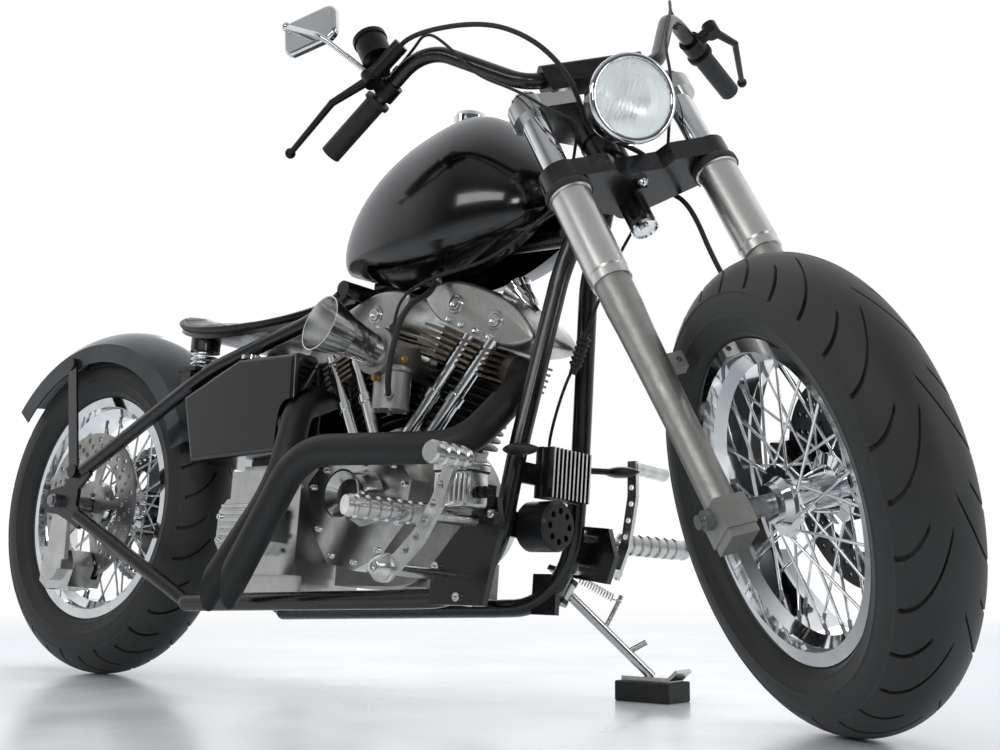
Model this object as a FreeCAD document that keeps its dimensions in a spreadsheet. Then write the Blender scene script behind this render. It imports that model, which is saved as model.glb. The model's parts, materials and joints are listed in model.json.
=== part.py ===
import FreeCAD, Part

import math
import os

import Sketcher
from FreeCAD import Placement, Rotation, Vector

# Chopper motorcycle with a rigid frame, parked on its side stand.
# Every piece is laid out in the bike frame: X forward, Y to the rider's left, Z up,
# origin at the centre of the rear axle, with the machine upright and steering straight.
# The pieces are then leaned onto the stand and the fork is turned to its right stop.
# Lengths are millimetres and angles are degrees.

doc = FreeCAD.newDocument("chopper")
sheet = doc.addObject("Spreadsheet::Sheet", "Sizes")

SIZES = {
    # stance and wheels
    "wheelbase": 1572,
    "lean_angle": 5.85,
    "steer_angle": 37,
    "rake_angle": 31.4,
    "fork_offset": 60,
    "tyre_radius": 320,
    "crown_radius": 70,
    "tyre_half_width": 66,
    "tyre_wall": 9,
    "rim_bead_radius": 203,
    "rim_lip_radius": 217,
    "rim_half_width": 47,
    "rim_wall": 4,
    "rim_well_radius": 187,
    "hub_radius": 34,
    "hub_flange_radius": 48,
    "hub_flange_spacing": 70,
    "hub_length": 118,
    "hub_flange_wall": 5,
    "axle_radius": 9.5,
    "nut_radius": 14,
    "nut_height": 12,
    "running_gap": 0.05,
    "seat_gap": 0.3,
    "spoke_radius": 2,
    "spoke_pairs": 20,
    # brakes and drive
    "disc_radius": 143,
    "disc_wall": 5,
    "disc_inner_radius": 92,
    "disc_hole_radius": 5,
    "disc_holes": 24,
    "disc_carrier_arms": 5,
    "disc_arm_width": 18,
    "sprocket_radius": 122,
    "sprocket_wall": 7,
    "sprocket_teeth": 48,
    "engine_sprocket_radius": 60,
    "chain_width": 16,
    "chain_height": 15,
    "chain_line": 84,
    # frame tubes
    "rail_radius": 15,
    "stay_radius": 13,
    "backbone_radius": 19,
    "top_tube_radius": 14,
    "axle_plate_wall": 8,
    "axle_plate_offset": 132,
    "neck_radius": 30,
    "lug_hole_radius": 4.5,
    "stem_radius": 13,
    # fork
    "leg_spacing": 242,
    "fork_tube_radius": 20.5,
    "fork_cover_radius": 31,
    "slider_radius": 27,
    "slider_top": 386,
    "lower_tree_base": 562,
    "lower_tree_wall": 34,
    "upper_tree_base": 704,
    "upper_tree_wall": 28,
    "bar_radius": 12.7,
    "grip_radius": 17,
    "headlight_radius": 68,
    # engine
    "crank_x": 840,
    "crank_z": -20,
    "vee_half_angle": 22.5,
    "case_radius": 122,
    "case_half_width": 58,
    "barrel_radius": 54,
    "barrel_fin_radius": 76,
    "barrel_base": 108,
    "barrel_top": 250,
    "barrel_fins": 9,
    "barrel_fin_wall": 3,
    "head_half_width": 82,
    "head_fins": 5,
    "rocker_base": 300,
    "rocker_half_width": 58,
    "pushrod_radius": 10,
    "exhaust_radius": 25,
    "exhaust_wall": 2.5,
    # bodywork
    "fender_radius": 352,
    "fender_half_width": 84,
    "fender_wall": 3,
    "oil_tank_half_width": 138,
    "cap_radius": 30,
}

for row, (alias, value) in enumerate(SIZES.items(), start=1):
    sheet.set("A%d" % row, alias)
    sheet.set("B%d" % row, str(value))
    sheet.setAlias("B%d" % row, alias)
doc.recompute()


def size(alias):
    """One driving dimension, read from the sheet."""
    return float(sheet.get(alias))


# Stance: the lean, the steering axis and the height of the front axle.

LEAN = math.radians(size("lean_angle"))
RAKE = math.radians(size("rake_angle"))
STEER = math.radians(size("steer_angle"))
UP_AXIS = Vector(-math.sin(RAKE), 0, math.cos(RAKE))
FORWARD_AXIS = Vector(math.cos(RAKE), 0, math.sin(RAKE))
LEAN_ROTATION = Rotation(Vector(1, 0, 0), -size("lean_angle"))
STEER_ROTATION = Rotation(UP_AXIS, -size("steer_angle"))


def standing_height(camber):
    """Height of a wheel centre over the floor when its wheel leans by camber, in radians."""
    centre_to_crown = size("tyre_radius") - size("crown_radius")
    return centre_to_crown * math.cos(camber) + size("crown_radius")


def front_axle_height():
    """Height of the front axle over the rear one, in the bike frame, with both tyres on the floor."""
    axle_side = LEAN_ROTATION.multVec(STEER_ROTATION.multVec(Vector(0, 1, 0)))
    camber = math.asin(axle_side.z)
    swing = STEER_ROTATION.multVec(FORWARD_AXIS) - FORWARD_AXIS
    centre = Vector(size("wheelbase"), 0, 0) + swing * size("fork_offset")
    leaned = LEAN_ROTATION.multVec(centre).z
    return (standing_height(camber) - standing_height(LEAN) - leaned) / math.cos(LEAN)


FRONT_AXLE = Vector(size("wheelbase"), 0, front_axle_height())
FORK_ORIGIN = FRONT_AXLE - FORWARD_AXIS * size("fork_offset")

# The fork frame has X forward and Z up along the steering axis, Y to the left.
STANCE = Placement(Vector(0, 0, standing_height(LEAN)), LEAN_ROTATION)
FORK_STRAIGHT = Placement(FORK_ORIGIN, Rotation(Vector(0, 1, 0), -size("rake_angle")))
TURN = Placement(Vector(0, 0, 0), Rotation(Vector(0, 0, 1), -size("steer_angle")))
BIKE = STANCE
FORK = STANCE * FORK_STRAIGHT * TURN
FRONT_WHEEL = FORK * Placement(Vector(size("fork_offset"), 0, 0), Rotation())

pieces = []


def keep(obj, label, frame):
    """Name a finished piece and stand it in its frame."""
    obj.Label = label
    obj.Placement = frame
    pieces.append(obj)
    return obj


def keep_shape(label, shape, frame):
    """A finished piece whose form is computed in the code below."""
    obj = doc.addObject("Part::Feature", label)
    own = shape.Placement
    obj.Shape = shape
    return keep(obj, label, frame * own)


# Form helpers: bent tubes, plates, turned forms and rods.

def bent_path(points, radii=None):
    """Straight runs joined by tangent arcs, one radius for each inner point."""
    points = [Vector(*p) for p in points]
    edges = []
    start = points[0]
    for i in range(1, len(points) - 1):
        before = (points[i - 1] - points[i]).normalize()
        after = (points[i + 1] - points[i]).normalize()
        half_turn = (math.pi - before.getAngle(after)) / 2
        run_in = (points[i - 1] - points[i]).Length
        run_out = (points[i + 1] - points[i]).Length
        if radii:
            room = min(run_in * (0.97 if i == 1 else 0.48), run_out * (0.97 if i == len(points) - 2 else 0.48))
            radius = min(radii[i - 1], room / math.tan(half_turn))
        else:
            radius = 0.45 * min(run_in, run_out) / math.tan(half_turn)
        reach = radius * math.tan(half_turn)
        first = points[i] + before * reach
        last = points[i] + after * reach
        inward = (before + after).normalize()
        centre_distance = radius / math.cos(half_turn)
        middle = points[i] + inward * (centre_distance - radius)
        if (first - start).Length > 1e-4:
            edges.append(Part.LineSegment(start, first).toShape())
        edges.append(Part.Arc(first, middle, last).toShape())
        start = last
    edges.append(Part.LineSegment(start, points[-1]).toShape())
    return Part.Wire(edges)


def tube(points, radius, radii=None, bore=0):
    """A round tube or rod along a bent path; a bore above zero makes it hollow."""
    path = bent_path(points, radii)
    start = Vector(*points[0])
    heading = (Vector(*points[1]) - start).normalize()
    profile = Part.Wire(Part.Circle(start, heading, radius).toShape())
    solid = path.makePipeShell([profile], True, True)
    if bore > 0:
        inner = Part.Wire(Part.Circle(start, heading, bore).toShape())
        solid = solid.cut(path.makePipeShell([inner], True, True))
    return solid


def rod(start, end, radius):
    """A plain round rod between two points."""
    start = Vector(*start)
    end = Vector(*end)
    return Part.makeCylinder(radius, (end - start).Length, start, end - start)


def cone_between(start, end, first_radius, last_radius):
    """A taper between two points."""
    start = Vector(*start)
    end = Vector(*end)
    return Part.makeCone(first_radius, last_radius, (end - start).Length, start, end - start)


def side_plate(points, y_low, y_high):
    """A plate cut to an outline of (x, z) points, between two Y values."""
    corners = [Vector(x, y_low, z) for x, z in points]
    corners.append(corners[0])
    return Part.Face(Part.makePolygon(corners)).extrude(Vector(0, y_high - y_low, 0))


def flat_plate(points, z_low, z_high):
    """A plate cut to an outline of (x, y) points, between two Z values."""
    corners = [Vector(x, y, z_low) for x, y in points]
    corners.append(corners[0])
    return Part.Face(Part.makePolygon(corners)).extrude(Vector(0, 0, z_high - z_low))


def fuse(shapes):
    """One solid from pieces that meet."""
    joined = shapes[0].multiFuse(shapes[1:]) if len(shapes) > 1 else shapes[0]
    return joined.removeSplitter()


def turned(points, centre=(0, 0, 0), axis=(0, 1, 0)):
    """A turned form from (radius, along) points about an axis through a centre."""
    corners = [Vector(r, 0, a) for r, a in points]
    corners.append(corners[0])
    solid = Part.Face(Part.makePolygon(corners)).revolve(Vector(0, 0, 0), Vector(0, 0, 1), 360)
    solid.Placement = Placement(Vector(*centre), Rotation(Vector(0, 0, 1), Vector(*axis)))
    return solid


def box(x_low, x_high, y_low, y_high, z_low, z_high):
    """A block between two corners."""
    return Part.makeBox(x_high - x_low, y_high - y_low, z_high - z_low, Vector(x_low, y_low, z_low))


def mirrored(shape):
    """The same form on the other side of the bike."""
    return shape.mirror(Vector(0, 0, 0), Vector(0, 1, 0))


# Sketched bodies.

def origin_plane(body, role):
    """One of the body's own reference planes."""
    for feature in body.Origin.OriginFeatures:
        if feature.Role == role:
            return feature
    raise RuntimeError(role)


def profile_sketch(body, name, points, role="XY_Plane"):
    """A closed outline whose corner coordinates are expressions of the sheet."""
    sketch = body.newObject("Sketcher::SketchObject", name)
    sketch.AttachmentSupport = [(origin_plane(body, role), "")]
    sketch.MapMode = "FlatFace"
    corners = [[float(sketch.evalExpression(text)) for text in corner] for corner in points]
    count = len(points)
    for i in range(count):
        start = Vector(corners[i][0], corners[i][1], 0)
        end = Vector(corners[(i + 1) % count][0], corners[(i + 1) % count][1], 0)
        sketch.addGeometry(Part.LineSegment(start, end), False)
    for i in range(count):
        sketch.addConstraint(Sketcher.Constraint("Coincident", i, 2, (i + 1) % count, 1))
    for i, corner in enumerate(points):
        for kind, axis in (("DistanceX", 0), ("DistanceY", 1)):
            rule = Sketcher.Constraint(kind, -1, 1, i, 1, corners[i][axis])
            index = sketch.addConstraint(rule)
            if "Sizes" in corner[axis]:
                sketch.setExpression("Constraints[%d]" % index, corner[axis])
    return sketch


def circle_sketch(body, name, centres, radius, role="XZ_Plane"):
    """Circles of one radius at (x, z) centres; the radius is an expression of the sheet."""
    sketch = body.newObject("Sketcher::SketchObject", name)
    sketch.AttachmentSupport = [(origin_plane(body, role), "")]
    sketch.MapMode = "FlatFace"
    start_radius = float(sketch.evalExpression(radius))
    for i, (x, z) in enumerate(centres):
        sketch.addGeometry(Part.Circle(Vector(x, z, 0), Vector(0, 0, 1), start_radius), False)
        sketch.addConstraint(Sketcher.Constraint("DistanceX", -1, 1, i, 3, x))
        sketch.addConstraint(Sketcher.Constraint("DistanceY", -1, 1, i, 3, z))
        index = sketch.addConstraint(Sketcher.Constraint("Radius", i, start_radius))
        sketch.setExpression("Constraints[%d]" % index, radius)
    return sketch


def revolution(body, name, points):
    """A turned feature about the Y axis from (radius, across) corners."""
    sketch = profile_sketch(body, name + "_profile", points)
    turn = body.newObject("PartDesign::Revolution", name)
    turn.Profile = sketch
    turn.ReferenceAxis = (sketch, ["V_Axis"])
    turn.Angle = 360
    return turn


def through_pocket(body, name, sketch):
    """A cut right through the body on both sides of the sketch's plane."""
    pocket = body.newObject("PartDesign::Pocket", name)
    pocket.Profile = sketch
    pocket.Type = "ThroughAll"
    pocket.Midplane = True
    return pocket


def polar_pattern(body, name, feature, count):
    """Copies of a feature round the Y axis; count is an expression of the sheet."""
    pattern = body.newObject("PartDesign::PolarPattern", name)
    pattern.Originals = [feature]
    pattern.Axis = (origin_plane(body, "Y_Axis"), [""])
    pattern.Angle = 360
    pattern.setExpression("Occurrences", count)
    body.Tip = pattern
    return pattern


def turned_body(label, points):
    """A body that is one turned form about its Y axis."""
    body = doc.addObject("PartDesign::Body", label)
    revolution(body, label + "_turn", points)
    doc.recompute()
    return body


# Wheels. Both turn about Y and share one rim, hub and tyre section.

def tyre(label, frame):
    """A road tyre: round crown, bulged side walls and two beads in the rim."""
    radius = size("tyre_radius")
    crown = size("crown_radius")
    wall = size("tyre_wall")
    half = size("tyre_half_width")
    bead = size("rim_bead_radius")
    bead_side = size("rim_half_width") - size("rim_wall")
    hoop = radius - crown
    edge = math.radians(62)

    def flip(point):
        return Vector(point.x, -point.y, 0)

    def arc_section(offset, side_bulge, bead_in):
        reach = crown - offset
        right = Vector(hoop + reach * math.cos(edge), reach * math.sin(edge), 0)
        left = Vector(right.x, -right.y, 0)
        waist = Vector((right.x + bead) / 2 - 4, side_bulge, 0)
        foot = Vector(size("rim_lip_radius") + 1, bead_in, 0)
        return right, left, waist, foot

    right, left, waist, foot = arc_section(0, half, bead_side - 0.2)
    inner_right, inner_left, inner_waist, inner_foot = arc_section(wall, half - wall, bead_side - wall)
    heel = Vector(bead + 1, foot.y, 0)
    toe = Vector(bead + 1, inner_foot.y, 0)
    edges = [
        Part.Arc(left, Vector(radius, 0, 0), right).toShape(),
        Part.Arc(right, waist, foot).toShape(),
        Part.LineSegment(foot, heel).toShape(),
        Part.LineSegment(heel, toe).toShape(),
        Part.LineSegment(toe, inner_foot).toShape(),
        Part.Arc(inner_foot, inner_waist, inner_right).toShape(),
        Part.Arc(inner_right, Vector(radius - wall, 0, 0), inner_left).toShape(),
        Part.Arc(inner_left, flip(inner_waist), flip(inner_foot)).toShape(),
        Part.LineSegment(flip(inner_foot), flip(toe)).toShape(),
        Part.LineSegment(flip(toe), flip(heel)).toShape(),
        Part.LineSegment(flip(heel), flip(foot)).toShape(),
        Part.Arc(flip(foot), flip(waist), left).toShape(),
    ]
    face = Part.Face(Part.Wire(edges))
    return keep_shape(label, face.revolve(Vector(0, 0, 0), Vector(0, 1, 0), 360), frame)


def wire_wheel():
    """Drop-centre rim, hub with two flanges and laced spokes, as one joined wheel."""
    lip = size("rim_lip_radius")
    bead = size("rim_bead_radius")
    well = size("rim_well_radius")
    half = size("rim_half_width")
    wall = size("rim_wall")
    flange = size("hub_flange_radius")
    spacing = size("hub_flange_spacing") / 2
    hub = size("hub_radius")
    hub_half = size("hub_length") / 2
    web = size("hub_flange_wall")
    bore = size("axle_radius") + size("running_gap")
    half_rim = [(lip, half), (lip, half - wall), (bead, half - wall), (bead - 2, half - 15), (well, half - 27)]
    half_under = [(well - wall, half - 30), (bead - 2 - wall, half - 17), (bead - wall, half)]
    rim = half_rim + [(r, -a) for r, a in reversed(half_rim)]
    rim += [(r, -a) for r, a in reversed(half_under)] + half_under
    half_hub = [(hub - 8, hub_half), (hub - 6, spacing + 3 * web), (hub, spacing + web), (flange, spacing + web)]
    half_hub += [(flange, spacing), (hub, spacing - web), (hub - 10, 0)]
    hub_outline = [(bore, hub_half)] + half_hub
    hub_outline += [(r, -a) for r, a in reversed(half_hub[:-1])] + [(bore, -hub_half)]
    parts = [turned(rim), turned(hub_outline)]
    step = 360.0 / size("spoke_pairs")
    for i in range(int(size("spoke_pairs"))):
        for side in (-1, 1):
            lean = 1 if i % 2 else -1
            hub_angle = math.radians(i * step + (step / 2 if side > 0 else 0))
            rim_angle = hub_angle + lean * math.radians(38)
            y_hub = side * (spacing + web / 2 + (web / 2 - 1) * lean)
            inner = flange - 4
            outer = well - wall / 2
            start = (inner * math.cos(hub_angle), y_hub, inner * math.sin(hub_angle))
            end = (outer * math.cos(rim_angle), side * (half - 38), outer * math.sin(rim_angle))
            parts.append(rod(start, end, size("spoke_radius")))
    return fuse(parts)


def disc_window():
    """Corners of one window between two carrier arms, as (x, z) points."""
    half_arm = size("disc_arm_width") / 2
    share = 2 * math.pi / size("disc_carrier_arms")
    corners = []
    for reach, steps in ((size("hub_flange_radius"), range(5)), (size("disc_inner_radius"), range(4, -1, -1))):
        clear = math.asin(half_arm / reach)
        for i in steps:
            angle = clear + (share - 2 * clear) * i / 4
            corners.append(("%.4f" % (reach * math.cos(angle)), "%.4f" % (reach * math.sin(angle))))
    return corners


def brake_disc(label, side, frame):
    """A drilled brake rotor on a spoked carrier, bolted to the hub's face."""
    inner = size("disc_inner_radius")
    width = size("disc_radius") - inner
    near = "(<<Sizes>>.hub_length + <<Sizes>>.seat_gap) / 2"
    near, far = (near, near + " + <<Sizes>>.disc_wall")
    if side < 0:
        near, far = ("-(%s)" % far, "-(%s)" % near)
    bore = "<<Sizes>>.axle_radius + 8"
    body = doc.addObject("PartDesign::Body", label)
    revolution(body, label + "_plate", [(bore, near), ("<<Sizes>>.disc_radius", near),
                                        ("<<Sizes>>.disc_radius", far), (bore, far)])
    window = through_pocket(body, label + "_window", profile_sketch(body, label + "_gap", disc_window(), "XZ_Plane"))
    polar_pattern(body, label + "_windows", window, "<<Sizes>>.disc_carrier_arms")
    centres = []
    for row, share in enumerate((0.24, 0.5, 0.76)):
        angle = 2 * math.pi * row / 3 / size("disc_holes")
        reach = inner + width * share
        centres.append((reach * math.cos(angle), reach * math.sin(angle)))
    drill = circle_sketch(body, label + "_drill", centres, "<<Sizes>>.disc_hole_radius")
    hole = through_pocket(body, label + "_hole", drill)
    polar_pattern(body, label + "_holes", hole, "<<Sizes>>.disc_holes")
    doc.recompute()
    return keep(body, label, frame)


wheel_shape = wire_wheel()
tyre("rear_tyre", BIKE)
keep_shape("rear_wheel", wheel_shape, BIKE)
brake_disc("rear_disc", -1, BIKE)
tyre("front_tyre", FRONT_WHEEL)
keep_shape("front_wheel", wheel_shape, FRONT_WHEEL)
brake_disc("front_disc", 1, FRONT_WHEEL)


# Rear end: axle, drive and brake.

def axle_body(label, frame, half, nut_at, spacer_low, spacer_high):
    """A through axle with a nut at each end and a spacer on each side of the hub."""
    radius = "<<Sizes>>.axle_radius"
    spacer = "<<Sizes>>.axle_radius + 4.5"
    half_outline = [(radius, spacer_low), (spacer, spacer_low), (spacer, spacer_high), (radius, spacer_high),
                    (radius, half), (0, half)]
    outline = [(str(r), "%.4f" % -a) for r, a in reversed(half_outline)]
    outline += [(str(r), "%.4f" % a) for r, a in half_outline]
    body = doc.addObject("PartDesign::Body", label)
    revolution(body, label + "_shaft", outline)
    hexagon = []
    for i in range(6):
        hexagon.append(("<<Sizes>>.nut_radius * cos(%d)" % (60 * i), "<<Sizes>>.nut_radius * sin(%d)" % (60 * i)))
    for name, start in (("_right_nut", nut_at), ("_left_nut", -nut_at - size("nut_height"))):
        sketch = profile_sketch(body, label + name + "_outline", hexagon, "XZ_Plane")
        sketch.AttachmentOffset = Placement(Vector(0, 0, start), Rotation())
        nut = body.newObject("PartDesign::Pad", label + name)
        nut.Profile = sketch
        nut.setExpression("Length", "<<Sizes>>.nut_height")
    doc.recompute()
    return keep(body, label, frame)


PLATE_INNER = size("axle_plate_offset") - size("axle_plate_wall") / 2
PLATE_OUTER = size("axle_plate_offset") + size("axle_plate_wall") / 2
HUB_FACE = size("hub_length") / 2

axle_body("rear_axle", BIKE, PLATE_OUTER + 18, PLATE_OUTER + 0.1, HUB_FACE + size("seat_gap"), PLATE_INNER)


def sprocket_outline(radius, teeth, depth):
    """Corner points of a toothed wheel with pointed teeth."""
    points = []
    for i in range(teeth):
        for part, reach in ((0.0, radius), (0.28, radius - depth), (0.72, radius - depth)):
            angle = 2 * math.pi * (i + part) / teeth
            points.append((reach * math.cos(angle), reach * math.sin(angle)))
    return points


def rear_sprocket():
    """Toothed wheel on a boss that stands it out from the hub, with lightening holes."""
    line = size("chain_line")
    wall = size("sprocket_wall")
    hub_face = HUB_FACE + size("seat_gap") / 2
    across = Vector(0, 1, 0)
    wheel = side_plate(sprocket_outline(size("sprocket_radius"), int(size("sprocket_teeth")), 7),
                       line - wall / 2, line + wall / 2)
    boss = Part.makeCylinder(44, line - hub_face, Vector(0, hub_face, 0), across)
    bore = Part.makeCylinder(size("axle_radius") + 8, 60, Vector(0, hub_face - 1, 0), across)
    holes = []
    for i in range(6):
        angle = math.radians(60 * i)
        at = Vector(80 * math.cos(angle), line - wall, 80 * math.sin(angle))
        holes.append(Part.makeCylinder(20, 2 * wall, at, across))
    return fuse([wheel, boss]).cut(Part.makeCompound([bore] + holes))


keep_shape("rear_sprocket", rear_sprocket(), BIKE)

SHAFT_X = 560
SHAFT_Z = 8


def belt_loop(first_radius, last_radius, y_low, y_high):
    """Outline of a band round the rear sprocket and the gearbox sprocket, as a solid."""
    length = math.hypot(SHAFT_X, SHAFT_Z)
    tilt = math.atan2(SHAFT_Z, SHAFT_X)
    spread = math.acos((first_radius - last_radius) / length)
    corners = []
    for side, radius, centre in ((1, first_radius, (0, 0)), (1, last_radius, (SHAFT_X, SHAFT_Z)),
                                 (-1, last_radius, (SHAFT_X, SHAFT_Z)), (-1, first_radius, (0, 0))):
        angle = tilt + side * spread
        corners.append(Vector(centre[0] + radius * math.cos(angle), y_low,
                              centre[1] + radius * math.sin(angle)))
    nose = Vector(SHAFT_X + last_radius * math.cos(tilt), y_low, SHAFT_Z + last_radius * math.sin(tilt))
    tail = Vector(-first_radius * math.cos(tilt), y_low, -first_radius * math.sin(tilt))
    edges = [
        Part.LineSegment(corners[0], corners[1]).toShape(),
        Part.Arc(corners[1], nose, corners[2]).toShape(),
        Part.LineSegment(corners[2], corners[3]).toShape(),
        Part.Arc(corners[3], tail, corners[0]).toShape(),
    ]
    return Part.Face(Part.Wire(edges)).extrude(Vector(0, y_high - y_low, 0))


def drive_chain():
    """The chain as one closed band that rides clear of the teeth."""
    low = size("chain_line") - size("chain_width") / 2
    high = size("chain_line") + size("chain_width") / 2
    inner_rear = size("sprocket_radius") + 2
    inner_front = size("engine_sprocket_radius") + 2
    height = size("chain_height")
    outer = belt_loop(inner_rear + height, inner_front + height, low, high)
    inner = belt_loop(inner_rear, inner_front, low, high)
    return outer.cut(inner)


keep_shape("drive_chain", drive_chain(), BIKE)


def rear_caliper():
    """Two-piston caliper that straddles the rotor below the axle, with its bracket."""
    disc_low = -HUB_FACE - size("seat_gap") / 2 - size("disc_wall")
    disc_high = disc_low + size("disc_wall")
    gap = 5
    body = side_plate([(-62, -84), (-66, -150), (-40, -166), (30, -160), (46, -120), (30, -92)],
                      disc_low - gap - 44, disc_high + gap + 9)
    slot = turned([(70, disc_low - gap), (size("disc_radius") + gap, disc_low - gap),
                   (size("disc_radius") + gap, disc_high + gap), (70, disc_high + gap)])
    cap = rod((-20, disc_low - gap - 44, -122), (-20, disc_low - gap - 56, -122), 27)
    arm_low = -PLATE_INNER
    arm = side_plate([(-26, -36), (-30, -110), (30, -110), (26, -30), (30, 24), (-20, 24)], arm_low + 0.3, arm_low + 9)
    arm = arm.cut(rod((0, arm_low - 1, 0), (0, arm_low + 12, 0), size("axle_radius") + 4.8))
    link = box(-22, 22, arm_low + 0.3, disc_low - gap - 30, -128, -100)
    return fuse([body.cut(slot), cap, arm, link])


keep_shape("rear_caliper", rear_caliper(), BIKE)


# Frame.

NECK_LOW = size("lower_tree_base") + size("lower_tree_wall") + size("seat_gap")
NECK_HIGH = size("upper_tree_base") - size("seat_gap")


def on_steering_axis(along):
    """A point of the steering axis, straight ahead, in the bike frame."""
    return FORK_ORIGIN + UP_AXIS * along


def neck_cylinder(radius):
    """The steering head's outside or bore."""
    low = on_steering_axis(NECK_LOW)
    return Part.makeCylinder(radius, NECK_HIGH - NECK_LOW, low, UP_AXIS)


def sides(shape):
    """A right-hand form and its twin on the left."""
    return [shape, mirrored(shape)]


CROSS_X = 700
CROSS_Z = 352
BACKBONE = [tuple(on_steering_axis((NECK_LOW + NECK_HIGH) / 2)), (1050, 0, 460), (860, 0, 398),
            (CROSS_X, 0, 368)]
STAY_TOP = [(69, -132, 57), (400, -116, 230), (640, -94, 303), (CROSS_X, -82, CROSS_Z - 6)]
RAIL_BACK = (395, -113, -182)
RAIL_FRONT = (925, -99, -164)
DOWNTUBE = [RAIL_FRONT, (1074, -96, -157), (1097, -75, 75), (1124, -36, 335), (1178, -16, 518)]


def backbone():
    """Steering head, main tube, cross tube and the brace under the fuel tank."""
    spine = tube(BACKBONE, size("backbone_radius"))
    head = neck_cylinder(size("neck_radius"))
    collars = []
    for low in (NECK_LOW, NECK_HIGH - 14):
        collars.append(Part.makeCylinder(size("neck_radius") + 4, 14, on_steering_axis(low), UP_AXIS))
    cross = rod((CROSS_X, -92, CROSS_Z), (CROSS_X, 92, CROSS_Z), 14)
    brace = rod((1128, 0, 409), (890, 0, 411), size("top_tube_radius"))
    tie = rod((1130, -34, 409), (1130, 34, 409), size("top_tube_radius"))
    post = rod((562, 0, 287), (552, 0, 58.2), 14)
    tail_tube = rod((CROSS_X, 0, CROSS_Z), (562, 0, 287), 12)
    knee = Part.makeSphere(14, Vector(562, 0, 287))
    body = fuse([spine, head, cross, brace, tie, post, tail_tube, knee] + collars)
    bore = neck_cylinder(size("stem_radius") + size("running_gap"))
    return body.cut(bore)


backbone_shape = backbone()
keep_shape("frame_backbone", backbone_shape, BIKE)

downtube = tube(DOWNTUBE, size("rail_radius"), [150, 900, 200]).cut(neck_cylinder(size("neck_radius") + 4))
downtube = downtube.cut(rod((1130, -60, 409), (1130, 60, 409), size("top_tube_radius")))
downtube = downtube.cut(neck_cylinder(size("neck_radius") + 4))
downtube = max(downtube.cut(backbone_shape).Solids, key=lambda solid: solid.Volume)
downtube_pair = Part.makeCompound(sides(downtube))


def rails():
    """Bottom rails, lower stays and the cross members that carry engine and gearbox."""
    shapes = []
    for side in (-1, 1):
        back = (RAIL_BACK[0], -side * RAIL_BACK[1], RAIL_BACK[2])
        front = (RAIL_FRONT[0], -side * RAIL_FRONT[1], RAIL_FRONT[2])
        plate = (66, side * size("axle_plate_offset"), -28)
        shapes.append(rod(back, front, size("rail_radius")))
        shapes.append(rod(plate, back, size("stay_radius")))
        shapes.append(Part.makeSphere(size("rail_radius"), Vector(*back)))
    for x in (470, 655, 905):
        slope = (x - RAIL_BACK[0]) / (RAIL_FRONT[0] - RAIL_BACK[0])
        z = RAIL_BACK[2] + slope * (RAIL_FRONT[2] - RAIL_BACK[2])
        shapes.append(box(x - 22, x + 22, -104, 104, z + 4, z + 12))
    return fuse(shapes)


def axle_plate():
    """Right-hand axle plate with a bore for the axle."""
    outline = [(-40, -20), (-40, 20), (14, 30), (46, 62), (80, 76), (94, 50), (62, 22), (60, -8), (88, -30),
               (74, -54), (44, -40), (6, -26)]
    plate = side_plate(outline, -PLATE_OUTER, -PLATE_INNER)
    return plate.cut(rod((0, -PLATE_OUTER - 1, 0), (0, -PLATE_INNER + 1, 0), size("axle_radius") + size("running_gap")))


plates = sides(axle_plate())
rail_shape = rails().cut(plates[0]).cut(plates[1])
rail_shape = max(rail_shape.Solids, key=lambda solid: solid.Volume)

stay = tube(STAY_TOP, size("stay_radius"), [420, 200]).cut(plates[0])
stay = stay.cut(rod((CROSS_X, -110, CROSS_Z), (CROSS_X, 110, CROSS_Z), 14))
stay = max(stay.Solids, key=lambda solid: solid.Volume)


# Engine: a narrow vee with open fins, pushrod tubes on the right and one carburettor.

CRANK = Vector(size("crank_x"), 0, size("crank_z"))
VEE = math.radians(size("vee_half_angle"))


def on_cylinder(lean, along, across=0, y=0):
    """A point in a cylinder's own plane; lean is 1 for the front cylinder and -1 for the rear."""
    x = CRANK.x + lean * (along * math.sin(VEE) + across * math.cos(VEE))
    z = CRANK.z + along * math.cos(VEE) - across * math.sin(VEE)
    return Vector(x, y, z)


def cylinder_axis(lean):
    """Direction from the crank to the head."""
    return Vector(lean * math.sin(VEE), 0, math.cos(VEE))


def half_space(lean):
    """The block that holds everything on one side of the vee's middle plane."""
    clear = 1
    if lean > 0:
        return box(CRANK.x + clear, CRANK.x + 400, -200, 200, CRANK.z - 100, CRANK.z + 500)
    return box(CRANK.x - 400, CRANK.x - clear, -200, 200, CRANK.z - 100, CRANK.z + 500)


def barrel(lean):
    """Iron cylinder with round cooling fins, cut away where the two barrels face each other."""
    base = size("barrel_base") + 22
    top = size("barrel_top")
    count = int(size("barrel_fins"))
    pitch = (top - base - size("barrel_fin_wall")) / count
    outline = [(20, base), (size("barrel_radius"), base)]
    for i in range(count):
        z = base + pitch * (i + 0.6)
        outline += [(size("barrel_radius"), z), (size("barrel_fin_radius"), z + 0.5),
                    (size("barrel_fin_radius"), z + size("barrel_fin_wall")),
                    (size("barrel_radius"), z + size("barrel_fin_wall") + 0.5)]
    outline += [(size("barrel_radius"), top), (20, top)]
    solid = turned(outline, tuple(CRANK), tuple(cylinder_axis(lean)))
    return solid.common(half_space(lean))


def cylinder_block(lean, across_low, across_high, y_low, y_high, along_low, along_high):
    """A block that stands square to a cylinder."""
    corners = [on_cylinder(lean, along_low, across_low, y_low), on_cylinder(lean, along_low, across_high, y_low),
               on_cylinder(lean, along_high, across_high, y_low), on_cylinder(lean, along_high, across_low, y_low)]
    corners.append(corners[0])
    return Part.Face(Part.makePolygon(corners)).extrude(Vector(0, y_high - y_low, 0))


PORT_HEIGHT = 275


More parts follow.
